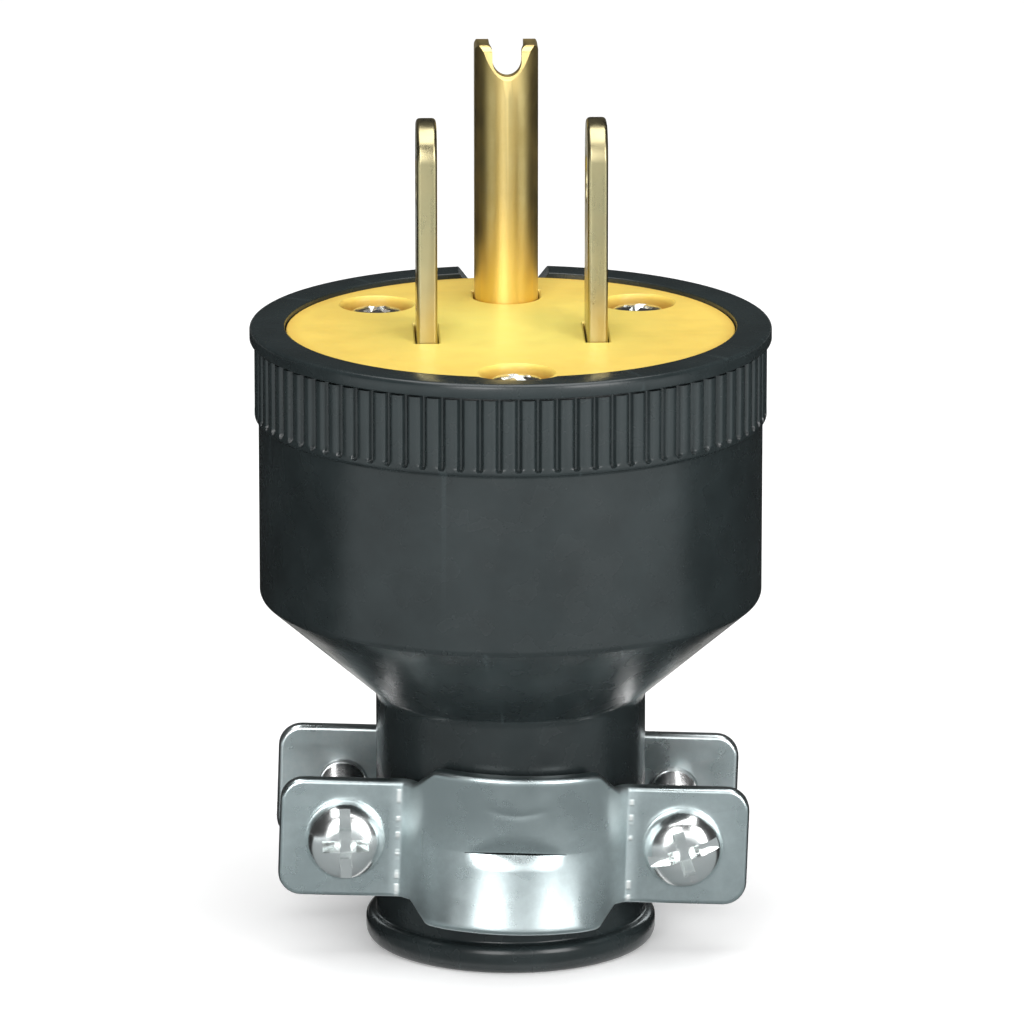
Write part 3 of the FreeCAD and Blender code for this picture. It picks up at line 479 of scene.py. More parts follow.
class Nodes:
    """Short calls for building one material's nodes."""

    def __init__(self, name):
        self.material = bpy.data.materials.new(name)
        self.material.use_nodes = True
        self.tree = self.material.node_tree
        self.shader = self.tree.nodes["Principled BSDF"]
        self.place = self.add("ShaderNodeTexCoord").outputs["Object"]

    def feed(self, socket, value):
        """Give a socket the output of another node or a plain value."""
        if isinstance(value, bpy.types.NodeSocket):
            self.tree.links.new(value, socket)
        else:
            socket.default_value = value

    def give(self, name, value):
        """Feed an input of the shader."""
        self.feed(self.shader.inputs[name], value)

    def add(self, kind, inputs=None, **settings):
        """A new node with its settings and inputs."""
        node = self.tree.nodes.new(kind)
        for key, value in settings.items():
            setattr(node, key, value)
        for name, value in (inputs or {}).items():
            self.feed(node.inputs[name], value)
        return node

    def stretch(self, scale):
        """Object coordinates, scaled along each axis."""
        return self.add("ShaderNodeMapping", {"Scale": scale, "Vector": self.place}).outputs["Vector"]

    def noise(self, scale, detail=3.0, rough=0.5, where=None):
        """Cloudy noise."""
        node = self.add("ShaderNodeTexNoise", {
            "Scale": scale, "Detail": detail, "Roughness": rough, "Vector": where or self.place})
        return node.outputs["Fac"]

    def ramp(self, source, low, high, start=0.0, end=1.0):
        """A value brought from one range to another and held at the ends."""
        node = self.add("ShaderNodeMapRange", {
            "Value": source, "From Min": low, "From Max": high, "To Min": start, "To Max": end})
        return node.outputs["Result"]

    def math(self, operation, *values):
        """One step of arithmetic."""
        node = self.add("ShaderNodeMath", operation=operation)
        for socket, value in zip(node.inputs, values):
            self.feed(socket, value)
        return node.outputs["Value"]

    def mix(self, factor, first, second):
        """One colour laid over another."""
        node = self.add("ShaderNodeMix", {"Factor": factor}, data_type="RGBA")
        for socket, value in zip((node.inputs[6], node.inputs[7]), (first, second)):
            self.feed(socket, value if isinstance(value, bpy.types.NodeSocket) else (*value, 1.0))
        return node.outputs[2]

    def bump(self, height, strength, distance, under=None):
        """Fine relief, over other relief where that is given."""
        node = self.add("ShaderNodeBump", {"Strength": strength, "Distance": distance, "Height": height})
        if under is not None:
            self.feed(node.inputs["Normal"], under)
        return node.outputs["Normal"]

    def worn(self):
        """Where the mesh is convex, for wear along edges."""
        geometry = self.add("ShaderNodeNewGeometry")
        return self.ramp(geometry.outputs["Pointiness"], 0.51, 0.60)

    def axis(self, name):
        """One of the object coordinates."""
        return self.add("ShaderNodeSeparateXYZ", {"Vector": self.place}).outputs[name]

    def off(self, source, value):
        """How far a value is from another."""
        return self.math("ABSOLUTE", self.math("SUBTRACT", source, value))

    def radius(self):
        """Distance from the upright axis."""
        across = self.math("POWER", self.axis("X"), 2.0)
        along = self.math("POWER", self.axis("Y"), 2.0)
        return self.math("SQRT", self.math("ADD", across, along))


def shade(value, factor):
    """A colour made lighter or darker."""
    return tuple(min(1.0, channel * factor) for channel in value)


def rubber_material(base):
    """Black moulded rubber with dusty patches and a fine grain."""
    make = Nodes("black_rubber")
    patches = make.ramp(make.noise(180.0, 5.0, 0.6), 0.35, 0.68)
    body = make.mix(patches, shade(base, 0.82), shade(base, 1.22))
    body = make.mix(make.worn(), body, shade(base, 1.6))
    make.give("Base Color", body)
    rough = make.ramp(make.noise(420.0, 4.0), 0.3, 0.7, 0.21, 0.31)
    make.give("Roughness", rough)
    make.give("Specular IOR Level", 0.5)
    fine = make.bump(make.noise(3200.0, 2.0), 0.10, 0.04 * MM)
    soft = make.bump(make.noise(120.0, 2.0), 0.07, 0.3 * MM, fine)
    make.give("Normal", soft)
    return make.material


def face_material(base):
    """Yellow moulded plastic with faint mottles and flow lines, a painted highlight that makes the middle
    paler, and painted shade near the edge and down in the recesses.
    """
    make = Nodes("yellow_plastic")
    mottle = make.ramp(make.noise(260.0, 4.0, 0.6), 0.35, 0.7)
    body = make.mix(mottle, base, shade(base, 0.93))
    flow = make.ramp(make.noise(1.0, 3.0, 0.6, make.stretch((70.0, 420.0, 70.0))), 0.52, 0.66, 0.0, 0.4)
    body = make.mix(flow, body, shade(base, 0.86))
    middle_highlight = (0.91, 0.77, 0.185)
    edge_shade = (0.62, 0.33, 0.05)
    recess_shade = (0.50, 0.25, 0.035)
    radius = make.radius()
    # painted highlight: a paler, more golden yellow towards the middle of the face
    body = make.mix(make.ramp(radius, 4.0 * MM, 13.5 * MM, 1.0, 0.0), body, middle_highlight)
    # painted shade: a dark orange-yellow towards the edge under the rim
    body = make.mix(make.ramp(radius, 15.8 * MM, 17.2 * MM, 0.0, 0.55), body, edge_shade)
    # painted shade: darker below the top of the face, on the walls of the slots, sinks and holes and round
    # the side
    body = make.mix(make.ramp(make.axis("Z"), 46.4 * MM, 47.4 * MM, 0.85, 0.0), body, recess_shade)
    make.give("Base Color", body)
    rough = make.ramp(make.noise(500.0, 3.0), 0.3, 0.7, 0.34, 0.46)
    make.give("Roughness", rough)
    make.give("Subsurface Weight", 0.06)
    make.give("Subsurface Radius", (1.0 * MM, 0.6 * MM, 0.2 * MM))
    grain = make.bump(make.noise(2600.0, 2.0), 0.06, 0.04 * MM)
    dents = make.bump(make.noise(210.0, 1.0), 0.10, 0.2 * MM, grain)
    make.give("Normal", dents)
    return make.material


def metal_material(name, base, rough_low, rough_high, brushed, stain, foot=None):
    """Brushed metal with cloudy tarnish, bright worn edges and, where given, a paler colour towards the face,
    which on the ground pin is a painted highlight.
    """
    make = Nodes(name)
    make.give("Metallic", 1.0)
    clouds = make.ramp(make.noise(330.0, 5.0, 0.6), 0.36, 0.68)
    body = make.mix(clouds, base, stain)
    if foot is not None:
        # a paler colour towards the face; on the ground pin it is a painted highlight at the foot
        body = make.mix(make.ramp(make.axis("Z"), 49.5 * MM, 56.0 * MM, 1.0, 0.0), body, foot)
    body = make.mix(make.worn(), body, shade(base, 1.3))
    make.give("Base Color", body)
    lines = make.noise(1.0, 3.0, 0.6, make.stretch(brushed))
    both = make.math("ADD", make.math("MULTIPLY", lines, 0.6), make.math("MULTIPLY", clouds, 0.4))
    make.give("Roughness", make.ramp(both, 0.25, 0.75, rough_low, rough_high))
    make.give("Normal", make.bump(lines, 0.10, 0.03 * MM))
    return make.material


def plastic_material(name, base):
    """Dull moulded plastic."""
    make = Nodes(name)
    mottle = make.ramp(make.noise(300.0, 4.0), 0.35, 0.7)
    body = make.mix(mottle, base, shade(base, 1.35))
    make.give("Base Color", make.mix(make.worn(), body, shade(base, 1.8)))
    make.give("Roughness", make.ramp(make.noise(700.0), 0.3, 0.7, 0.4, 0.55))
    make.give("Normal", make.bump(make.noise(2500.0), 0.1, 0.04 * MM))
    return make.material


# pieces

def rib_sector(size):
    """One rib pitch of the shell, with its groove on the side to the viewer."""
    face = bpy.context.scene.plug_face
    play = 0.1 * MM
    ring_gap = 0.22 * MM
    rim_floor = size.rim_height - size.rim_band
    rib_top = rim_floor - ring_gap
    gap_radius = size.shell_radius - 0.1 * MM
    groove_low = size.rib_foot + 0.3 * MM
    groove_rows = [groove_low + lift * MM for lift in (0.0, 0.09, 0.22, 0.38)]
    lip_under = face.height - face.step + play
    back = face.height - face.thickness
    seat = face.plate_radius + play
    cone_radius = (size.neck_radius + size.shell_radius) / 2 + size.cone_shift
    cone_height = (size.neck_height + size.corner_height) / 2 + size.cone_shift
    corners = [
        (size.cord_radius, 0.0, 0.5 * MM, 3),
        (size.flange_radius, 0.0, 0.85 * MM, 6),
        (size.flange_radius, size.flange_height, 0.6 * MM, 5),
        (size.neck_radius, size.flange_height, 0.3 * MM, 3),
        (size.neck_radius, size.neck_height, 0.5 * MM, 5),
        (cone_radius, cone_height, 3.2 * MM, 5),
        (size.shell_radius, size.corner_height, 0.3 * MM, 4),
        (size.shell_radius, size.rib_foot - 0.1 * MM, 0.1 * MM, 2),
        (size.rib_radius, size.rib_foot + 0.12 * MM, 0.1 * MM, 2),
        *[(size.rib_radius, height) for height in groove_rows],
        (size.rib_radius, rib_top),
        (gap_radius, rib_top),
        (gap_radius, rim_floor),
        (size.rim_radius, rim_floor, 0.12 * MM, 2),
        (size.rim_radius, size.rim_height, size.rim_round, 4),
        (size.lip_radius, size.rim_height, 0.15 * MM, 2),
        (size.lip_radius, lip_under),
        (seat, lip_under),
        (seat, back),
        (size.inside_radius, back),
        (size.inside_radius, size.inside_floor),
        (size.cord_radius, size.inside_floor),
    ]
    bm = bmesh.new()
    row = half_section(bm, corners)
    pitch = math.tau / size.rib_count
    half = 0.5 * size.rib_gap / size.rib_radius
    columns = [(half * part, size.rib_depth * depth, first_row) for part, depth, first_row in GROOVE]
    right = [angle for angle, _, _ in columns] + [pitch / 2]
    stops = [-angle for angle in reversed(right)] + right[1:]
    start = Matrix.Rotation(-math.pi / 2 - pitch / 2, 3, "Z")
    bmesh.ops.rotate(bm, cent=CENTRE, matrix=start, verts=list(bm.verts))
    for before, after in zip(stops, stops[1:]):
        swept = bmesh.ops.spin(
            bm, geom=row, cent=CENTRE, axis=AXIS, dvec=CENTRE, angle=after - before, steps=1,
            use_duplicate=False)
        row = swept["geom_last"]
    same_angle = 0.00001
    for vertex in bm.verts:
        radius = vertex.co.xy.length
        if radius < size.rib_radius - TINY or not groove_low - TINY < vertex.co.z < rib_top + TINY:
            continue
        angle = abs(math.atan2(vertex.co.x, -vertex.co.y))
        for place, depth, first_row in columns:
            if abs(angle - place) < same_angle and vertex.co.z > groove_rows[first_row] - TINY:
                vertex.co.xy *= (radius - depth) / radius
                break
    return bm, pitch


class PLUG_OT_rubber_body(bpy.types.Operator):
    """Mould the rubber shell with its ribs, rim ring, cone, neck and cord flange"""
    bl_idname = "plug.rubber_body"
    bl_label = "Rubber body"
    bl_options = {"REGISTER", "UNDO"}

    def execute(self, context):
        size = context.scene.plug_shell
        face = context.scene.plug_face
        bm, pitch = rib_sector(size)
        others = size.rib_count - 1
        bmesh.ops.spin(
            bm, geom=list(bm.verts) + list(bm.edges) + list(bm.faces), cent=CENTRE, axis=AXIS, dvec=CENTRE,
            angle=pitch * others, steps=others, use_duplicate=True)
        close_up(bm)
        body = as_object("rubber_shell", bm)
        over = size.rim_height + PAST
        lip = face.height - face.step
        relief = face.lobe_radius + 0.15 * MM
        lobe = lathe([
            (0.0, size.key_foot), (size.key_radius, size.key_foot), (size.key_radius, lip),
            (relief, lip), (relief, over), (0.0, over),
        ], 48, Matrix.Translation((0.0, -face.screw_front, 0.0)))
        carve(body, lobe)
        floor = size.rim_height - size.notch_depth
        top = size.notch_top + (size.notch_top - size.notch_floor) / size.notch_depth * PAST
        start = 16.0 * MM
        deep = 10.0 * MM
        notch = prism([
            (-size.notch_floor, start, floor), (size.notch_floor, start, floor), (top, start, over),
            (-top, start, over),
        ], (0.0, deep, 0.0))
        carve(body, notch)
        rubber = rubber_material(context.scene.plug_finish.rubber)
        hand_over(body, rubber, "black_rubber", "rubber_body", sharp=52.0)
        return {"FINISHED"}


class PLUG_OT_face_plate(bpy.types.Operator):
    """Mould the yellow face plate with its slots and sunk screw holes"""
    bl_idname = "plug.face_plate"
    bl_label = "Face plate"
    bl_options = {"REGISTER", "UNDO"}

    def execute(self, context):
        size = context.scene.plug_face
        pins = context.scene.plug_pins
        back = size.height - size.thickness
        step = size.height - size.step
        plate = as_object("face_plate_shell", lathe([
            (0.0, back),
            (size.plate_radius, back, 0.2 * MM, 2),
            (size.plate_radius, step, 0.15 * MM, 2),
            (size.radius, step),
            (size.radius, size.height, size.edge, 3),
            (0.0, size.height),
        ], 128))
        lobe_foot = step - 0.2 * MM
        lobe = lathe([
            (0.0, lobe_foot),
            (size.lobe_radius, lobe_foot),
            (size.lobe_radius, size.height, size.edge, 3),
            (0.0, size.height),
        ], 64, Matrix.Translation((0.0, -size.screw_front, 0.0)))
        carve(plate, lobe, "UNION")
        self.open_face(plate, size, pins, back - PAST)
        self.open_back(plate, pins, back)
        hand_over(plate, face_material(context.scene.plug_finish.face), "yellow_plastic", "face_plate")
        return {"FINISHED"}

    def open_face(self, plate, size, pins, under):
        """Cut the slots of the blades, the screw recesses and the opening for the ground pin."""
        play = 0.13 * MM
        lip = 0.2 * MM
        over = size.height + PAST
        slot = (pins.blade_thickness / 2 + play, pins.blade_width / 2 + play)
        cuts = []
        for side in (-1.0, 1.0):
            middle = (side * pins.blade_spacing / 2, -pins.blade_shift)
            cuts.append(flared_block(middle, slot, under, size.height))
        sink = size.height - size.sink_depth
        sink_top = size.sink_radius + 2.0 * lip
        for x, y in screw_places(size):
            cuts.append(lathe([
                (0.0, under), (size.screw_hole, under), (size.screw_hole, sink), (size.sink_radius, sink),
                (size.sink_radius, size.height - lip, lip, 3), (sink_top, size.height + lip),
                (sink_top, over), (0.0, over),
            ], 56, Matrix.Translation((x, y, 0.0))))
        hole = pins.pin_radius + play
        hole_top = hole + 2.0 * SLOT_EDGE
        cuts.append(lathe([
            (0.0, under), (hole, under), (hole, size.height - SLOT_EDGE),
            (hole_top, size.height + SLOT_EDGE), (hole_top, over), (0.0, over),
        ], 56, Matrix.Translation((0.0, pins.pin_back, 0.0))))
        carve(plate, together(*cuts))
        legs = (pins.pin_leg + play) / 2
        carve(plate, flared_block((0.0, pins.pin_back + legs), (hole, legs), under, size.height))

    def open_back(self, plate, pins, back):
        """Cut the pockets for the feet of the blades and of the ground pin."""
        play = 0.1 * MM
        overlap = 0.4 * MM
        under = back - PAST
        top = back + pins.blade_thickness
        inner = (pins.blade_spacing - pins.blade_thickness) / 2 - play
        outer = pins.foot_side + play
        front = -pins.foot_front - play
        rear = pins.foot_back + play
        half = pins.ground_half + play
        pin_front = pins.pin_back - pins.pin_radius
        carve(plate, together(
            block((inner, front, under), (outer, rear, top)),
            block((-outer, front, under), (-inner, rear, top)),
            block((-half, pins.ground_front - play, under), (half, pin_front + overlap, top))))


def flared_block(middle, half, low, high):
    """A block for cutting a slot whose upper edge is broken."""
    bm = block(
        (middle[0] - half[0], middle[1] - half[1], low),
        (middle[0] + half[0], middle[1] + half[1], high - SLOT_EDGE))
    lid = max(bm.faces, key=lambda face: face.calc_center_median().z)
    for rise, spread in ((2.0 * SLOT_EDGE, 2.0 * SLOT_EDGE), (PAST, 0.0)):
        made = draw_out(bm, [lid], (0.0, 0.0, rise))
        bmesh.ops.delete(bm, geom=[lid], context="FACES_ONLY")
        lid = only(BMFace, made)[0]
        for vertex in lid.verts:
            vertex.co.x += math.copysign(spread, vertex.co.x - middle[0])
            vertex.co.y += math.copysign(spread, vertex.co.y - middle[1])
    close_up(bm)
    return bm


def screw_places(size):
    """Places of the three face screws."""
    return (
        (0.0, -size.screw_front),
        (-size.screw_side, size.screw_back),
        (size.screw_side, size.screw_back),
    )


class PLUG_OT_blades(bpy.types.Operator):
    """Stamp the two flat blades with rounded tips, holes and feet"""
    bl_idname = "plug.blades"
    bl_label = "Blades"
    bl_options = {"REGISTER", "UNDO"}

    def execute(self, context):
        size = context.scene.plug_pins
        metal = metal_material(
            "blade_brass", context.scene.plug_finish.blade, 0.24, 0.40, UPRIGHT_BRUSH, (0.38, 0.33, 0.185),
            (0.54, 0.44, 0.21))
        for side, node in ((-1.0, "line_blade"), (1.0, "neutral_blade")):
            blade = self.stamp(size, side, node)
            hand_over(blade, metal, "blade_brass", node)
        return {"FINISHED"}

    def stamp(self, size, side, node):
        """One blade, on the left or the right."""
        inner = size.blade_spacing / 2 - size.blade_thickness / 2
        front = -size.blade_shift - size.blade_width / 2
        rear = -size.blade_shift + size.blade_width / 2
        bm = bmesh.new()
        flat = flat_face(bm, [
            (inner, front, size.foot_height), (inner, rear, size.foot_height),
            (inner, rear, size.blade_tip), (inner, front, size.blade_tip)])
        for corner in list(flat.verts)[2:]:
            round_corner(bm, corner, size.blade_round, 8)
        draw_out(bm, list(bm.faces), (size.blade_thickness, 0.0, 0.0))
        close_up(bm)
        outline = [edge for edge in bm.edges if abs(edge.verts[0].co.x - edge.verts[1].co.x) < TINY
                   and max(vertex.co.z for vertex in edge.verts) > size.foot_height + TINY]
        soften(bm, outline, 0.3 * MM, 3)
        blade = as_object(node + "_stamped", bm)
        height = size.blade_tip - size.blade_hole_drop
        before = 2.0 * MM
        deep = 6.0 * MM
        start = Matrix.Translation((inner - before, -size.blade_shift, height))
        sideways = Matrix.Rotation(math.pi / 2, 4, "Y")
        carve(blade, drill(size.blade_hole, 0.0, deep, 40, start @ sideways))
        middle = Vector((-size.blade_shift, height))
        close_by = 0.01 * MM

        def on_hole(edge):
            return is_sharp(edge) and all(
                abs((vertex.co.yz - middle).length - size.blade_hole) < close_by for vertex in edge.verts)

        rework(blade, on_hole, 0.12 * MM, 2)
        top = size.foot_height + size.blade_thickness
        foot = block((inner, -size.foot_front, size.foot_height), (size.foot_side, size.foot_back, top))
        carve(blade, foot, "UNION")
        place = Matrix.Translation((size.foot_hole_side, -size.blade_shift, 0.0))
        carve(blade, drill(size.foot_hole, size.foot_height - PAST, top + PAST, 32, place))
        if side < 0.0:
            bm = opened(blade)
            flip_over(bm, (-1.0, 1.0, 1.0))
            put_back(bm, blade)
        return blade


class PLUG_OT_ground_pin(bpy.types.Operator):
    """Roll the ground pin to a U with a notched tip and add its foot"""
    bl_idname = "plug.ground_pin"
    bl_label = "Ground pin"
    bl_options = {"REGISTER", "UNDO"}

    def execute(self, context):
        size = context.scene.plug_pins
        pin = as_object("ground_pin_rolled", self.roll(size))
        thicken(pin, size.pin_sheet)
        carve(pin, self.front_view(size), "INTERSECT")
        carve(pin, self.side_view(size), "INTERSECT")
        top = size.foot_height + size.blade_thickness
        joint = size.pin_back - size.pin_radius + size.pin_sheet
        foot = block(
            (-size.ground_half, size.ground_front, size.foot_height), (size.ground_half, joint, top))
        carve(pin, foot, "UNION")
        place = Matrix.Translation((0.0, size.ground_hole, 0.0))
        carve(pin, drill(size.foot_hole, size.foot_height - PAST, top + PAST, 32, place))
        # the ground pin's paler, more golden foot colour is a painted highlight
        metal = metal_material(
            "pin_brass", context.scene.plug_finish.pin, 0.30, 0.46, UPRIGHT_BRUSH, (0.60, 0.46, 0.18),
            (1.0, 0.75, 0.27))
        hand_over(pin, metal, "pin_brass", "ground_pin", sharp=12.0)
        return {"FINISHED"}

    def roll(self, size):
        """The middle surface of the pin, open at the back."""
        middle = size.pin_radius - size.pin_sheet / 2
        leg = size.pin_back + size.pin_leg
        bm = bmesh.new()
        leg_end = bm.verts.new((middle, leg, size.foot_height))
        leg_start = bm.verts.new((middle, size.pin_back, size.foot_height))
        bm.edges.new((leg_end, leg_start))
        last = swing(bm, leg_start, Vector((0.0, size.pin_back, 0.0)), -math.pi, 40)
        other_end = bm.verts.new((-middle, leg, size.foot_height))
        bm.edges.new((last, other_end))
        horns = 4.0 * MM
        draw_up(bm, list(bm.edges), (size.pin_tip - horns - size.foot_height, horns - TIP_PLAY))
        close_up(bm)
        return bm

    def front_view(self, size):
        """Everything inside the front view of the pin, with its rounded horns and notch."""
        outer = 0.62 * MM
        inner = 0.55 * MM
        top = size.pin_tip - TIP_PLAY
        wide = size.pin_radius + PAST
        floor = size.pin_tip - size.pin_notch_depth + size.pin_notch
        right = [(wide, size.foot_height - PAST), (wide, top - outer)]
        right += arc(size.pin_radius - outer, top - outer, outer, 0.0, math.pi / 2, 6)
        right += arc(size.pin_notch + inner, top - inner, inner, math.pi / 2, math.pi, 5)
        notch = arc(0.0, floor, size.pin_notch, 0.0, -math.pi, 20)
        left = [(-x, z) for x, z in reversed(right)]
        front = size.pin_back - size.pin_radius - PAST
        deep = size.pin_radius + size.pin_leg + 2.0 * PAST
        return prism([(x, front, z) for x, z in right + notch + left], (0.0, deep, 0.0))

    def side_view(self, size):
        """Everything inside the side view of the pin: a coined flat in front, the top falls to the back."""
        lean = 0.36
        fall = 0.07
        bend = 0.9 * MM
        low = size.pin_tip - size.pin_coin
        front = size.pin_back - size.pin_radius
        back = size.pin_back + size.pin_leg + PAST
        bottom = size.foot_height - PAST
        first = math.pi - math.atan(lean)
        last = math.pi / 2 - math.atan(fall)
        high = size.pin_tip - TIP_PLAY - bend
        deep = front + lean * (high + bend * math.sin(first) - low) - bend * math.cos(first)
        ahead = front - lean * PAST
        line = [(ahead, low - PAST)] + arc(deep, high, bend, first, last, 6)
        line.append((back, line[-1][1] - fall * (back - line[-1][0])))
        line += [(back, bottom), (ahead, bottom)]
        wide = size.pin_radius + PAST
        return prism([(-wide, y, z) for y, z in line], (2.0 * wide, 0.0, 0.0))


def drive_cuts(arm_half, arm_length, depth, slot_half=0.0, slot_length=0.0):
    """Cutters of a cross recess that narrows downwards, with a slot right across where asked."""
    floor_width = 0.7
    floor_length = 0.45
    flare = 1.15
    over = 0.3 * MM
    slot_depth = 0.85 * MM
    x = arm_half * floor_width
    y = arm_length * floor_length
    cuts = []
    for spin in (0.0, math.pi / 2):
        bm = bmesh.new()
        floor = flat_face(bm, [(-x, -y, -depth), (x, -y, -depth), (x, y, -depth), (-x, y, -depth)])
        made = draw_out(bm, [floor], (0.0, 0.0, depth + over))
        bmesh.ops.scale(bm, vec=(1.0 / floor_width, flare / floor_length, 1.0), verts=only(BMVert, made))
        close_up(bm)
        bmesh.ops.rotate(bm, cent=CENTRE, matrix=Matrix.Rotation(spin, 3, "Z"), verts=list(bm.verts))
        cuts.append(bm)
    if slot_length > 0.0:
        cuts.append(block((-slot_half, -slot_length, -slot_depth), (slot_half, slot_length, PAST)))
    return cuts


def cut_drive(screw, cuts, height, spin):
    """Cut a turned drive into the head of a screw."""
    place = Matrix.Translation((0.0, 0.0, height)) @ Matrix.Rotation(spin, 4, "Z")
    for cut in cuts:
        bmesh.ops.transform(cut, matrix=place, verts=list(cut.verts))
        carve(screw, cut)


def thread(radius, root, pitch, low, high):
    """A closed ridge that winds round Z."""
    half_foot = 0.42
    half = pitch * half_foot
    sunk = root - 0.05 * MM
    steps_round = 18
    bm = bmesh.new()
    ring = [bm.verts.new((sunk, 0.0, low - half)), bm.verts.new((radius, 0.0, low)),
            bm.verts.new((sunk, 0.0, low + half))]
    edges = [bm.edges.new((ring[index], ring[(index + 1) % 3])) for index in range(3)]
    turns = (high - low) / pitch
    steps = int(turns * steps_round)
    bmesh.ops.contextual_create(bm, geom=edges)
    swept = bmesh.ops.spin(
        bm, geom=ring + edges, cent=CENTRE, axis=AXIS, dvec=(0.0, 0.0, (high - low) / steps),
        angle=math.tau * turns, steps=steps, use_duplicate=False)
    bmesh.ops.contextual_create(bm, geom=only(BMEdge, swept["geom_last"]))
    close_up(bm)
    return bm


class PLUG_OT_face_screws(bpy.types.Operator):
    """Turn the three sunk face screws with their cross recesses"""
    bl_idname = "plug.face_screws"
    bl_label = "Face screws"
    bl_options = {"REGISTER", "UNDO"}

    def execute(self, context):
        size = context.scene.plug_screws
        face = context.scene.plug_face
        metal = metal_material(
            "face_screw_zinc", context.scene.plug_finish.screw, 0.16, 0.3, CROSS_BRUSH, (0.72, 0.74, 0.72))
        first_spin = math.radians(20.0)
        next_spin = math.radians(25.0)
        top = size.face_head_top
        low = top - size.face_head_height
        end = low - size.face_length
        for number, (x, y) in enumerate(screw_places(face)):
            screw = as_object("face_screw_%d" % (number + 1), lathe([
                (0.0, end),
                (size.face_shank * 0.4, end),
                (size.face_shank, end + 1.4 * MM),
                (size.face_shank, low),
                (size.face_head, low, 0.1 * MM, 2),
                (size.face_head, top - 0.25 * MM, 0.5 * MM, 4),
                (0.0, top),
            ], 48))
            cuts = drive_cuts(arm_half=0.36 * MM, arm_length=1.25 * MM, depth=0.95 * MM)
            cut_drive(screw, cuts, top - 0.05 * MM, first_spin + next_spin * number)
            screw.data.transform(Matrix.Translation((x, y, 0.0)))
            hand_over(screw, metal, "zinc_screw", "face_screws")
        return {"FINISHED"}


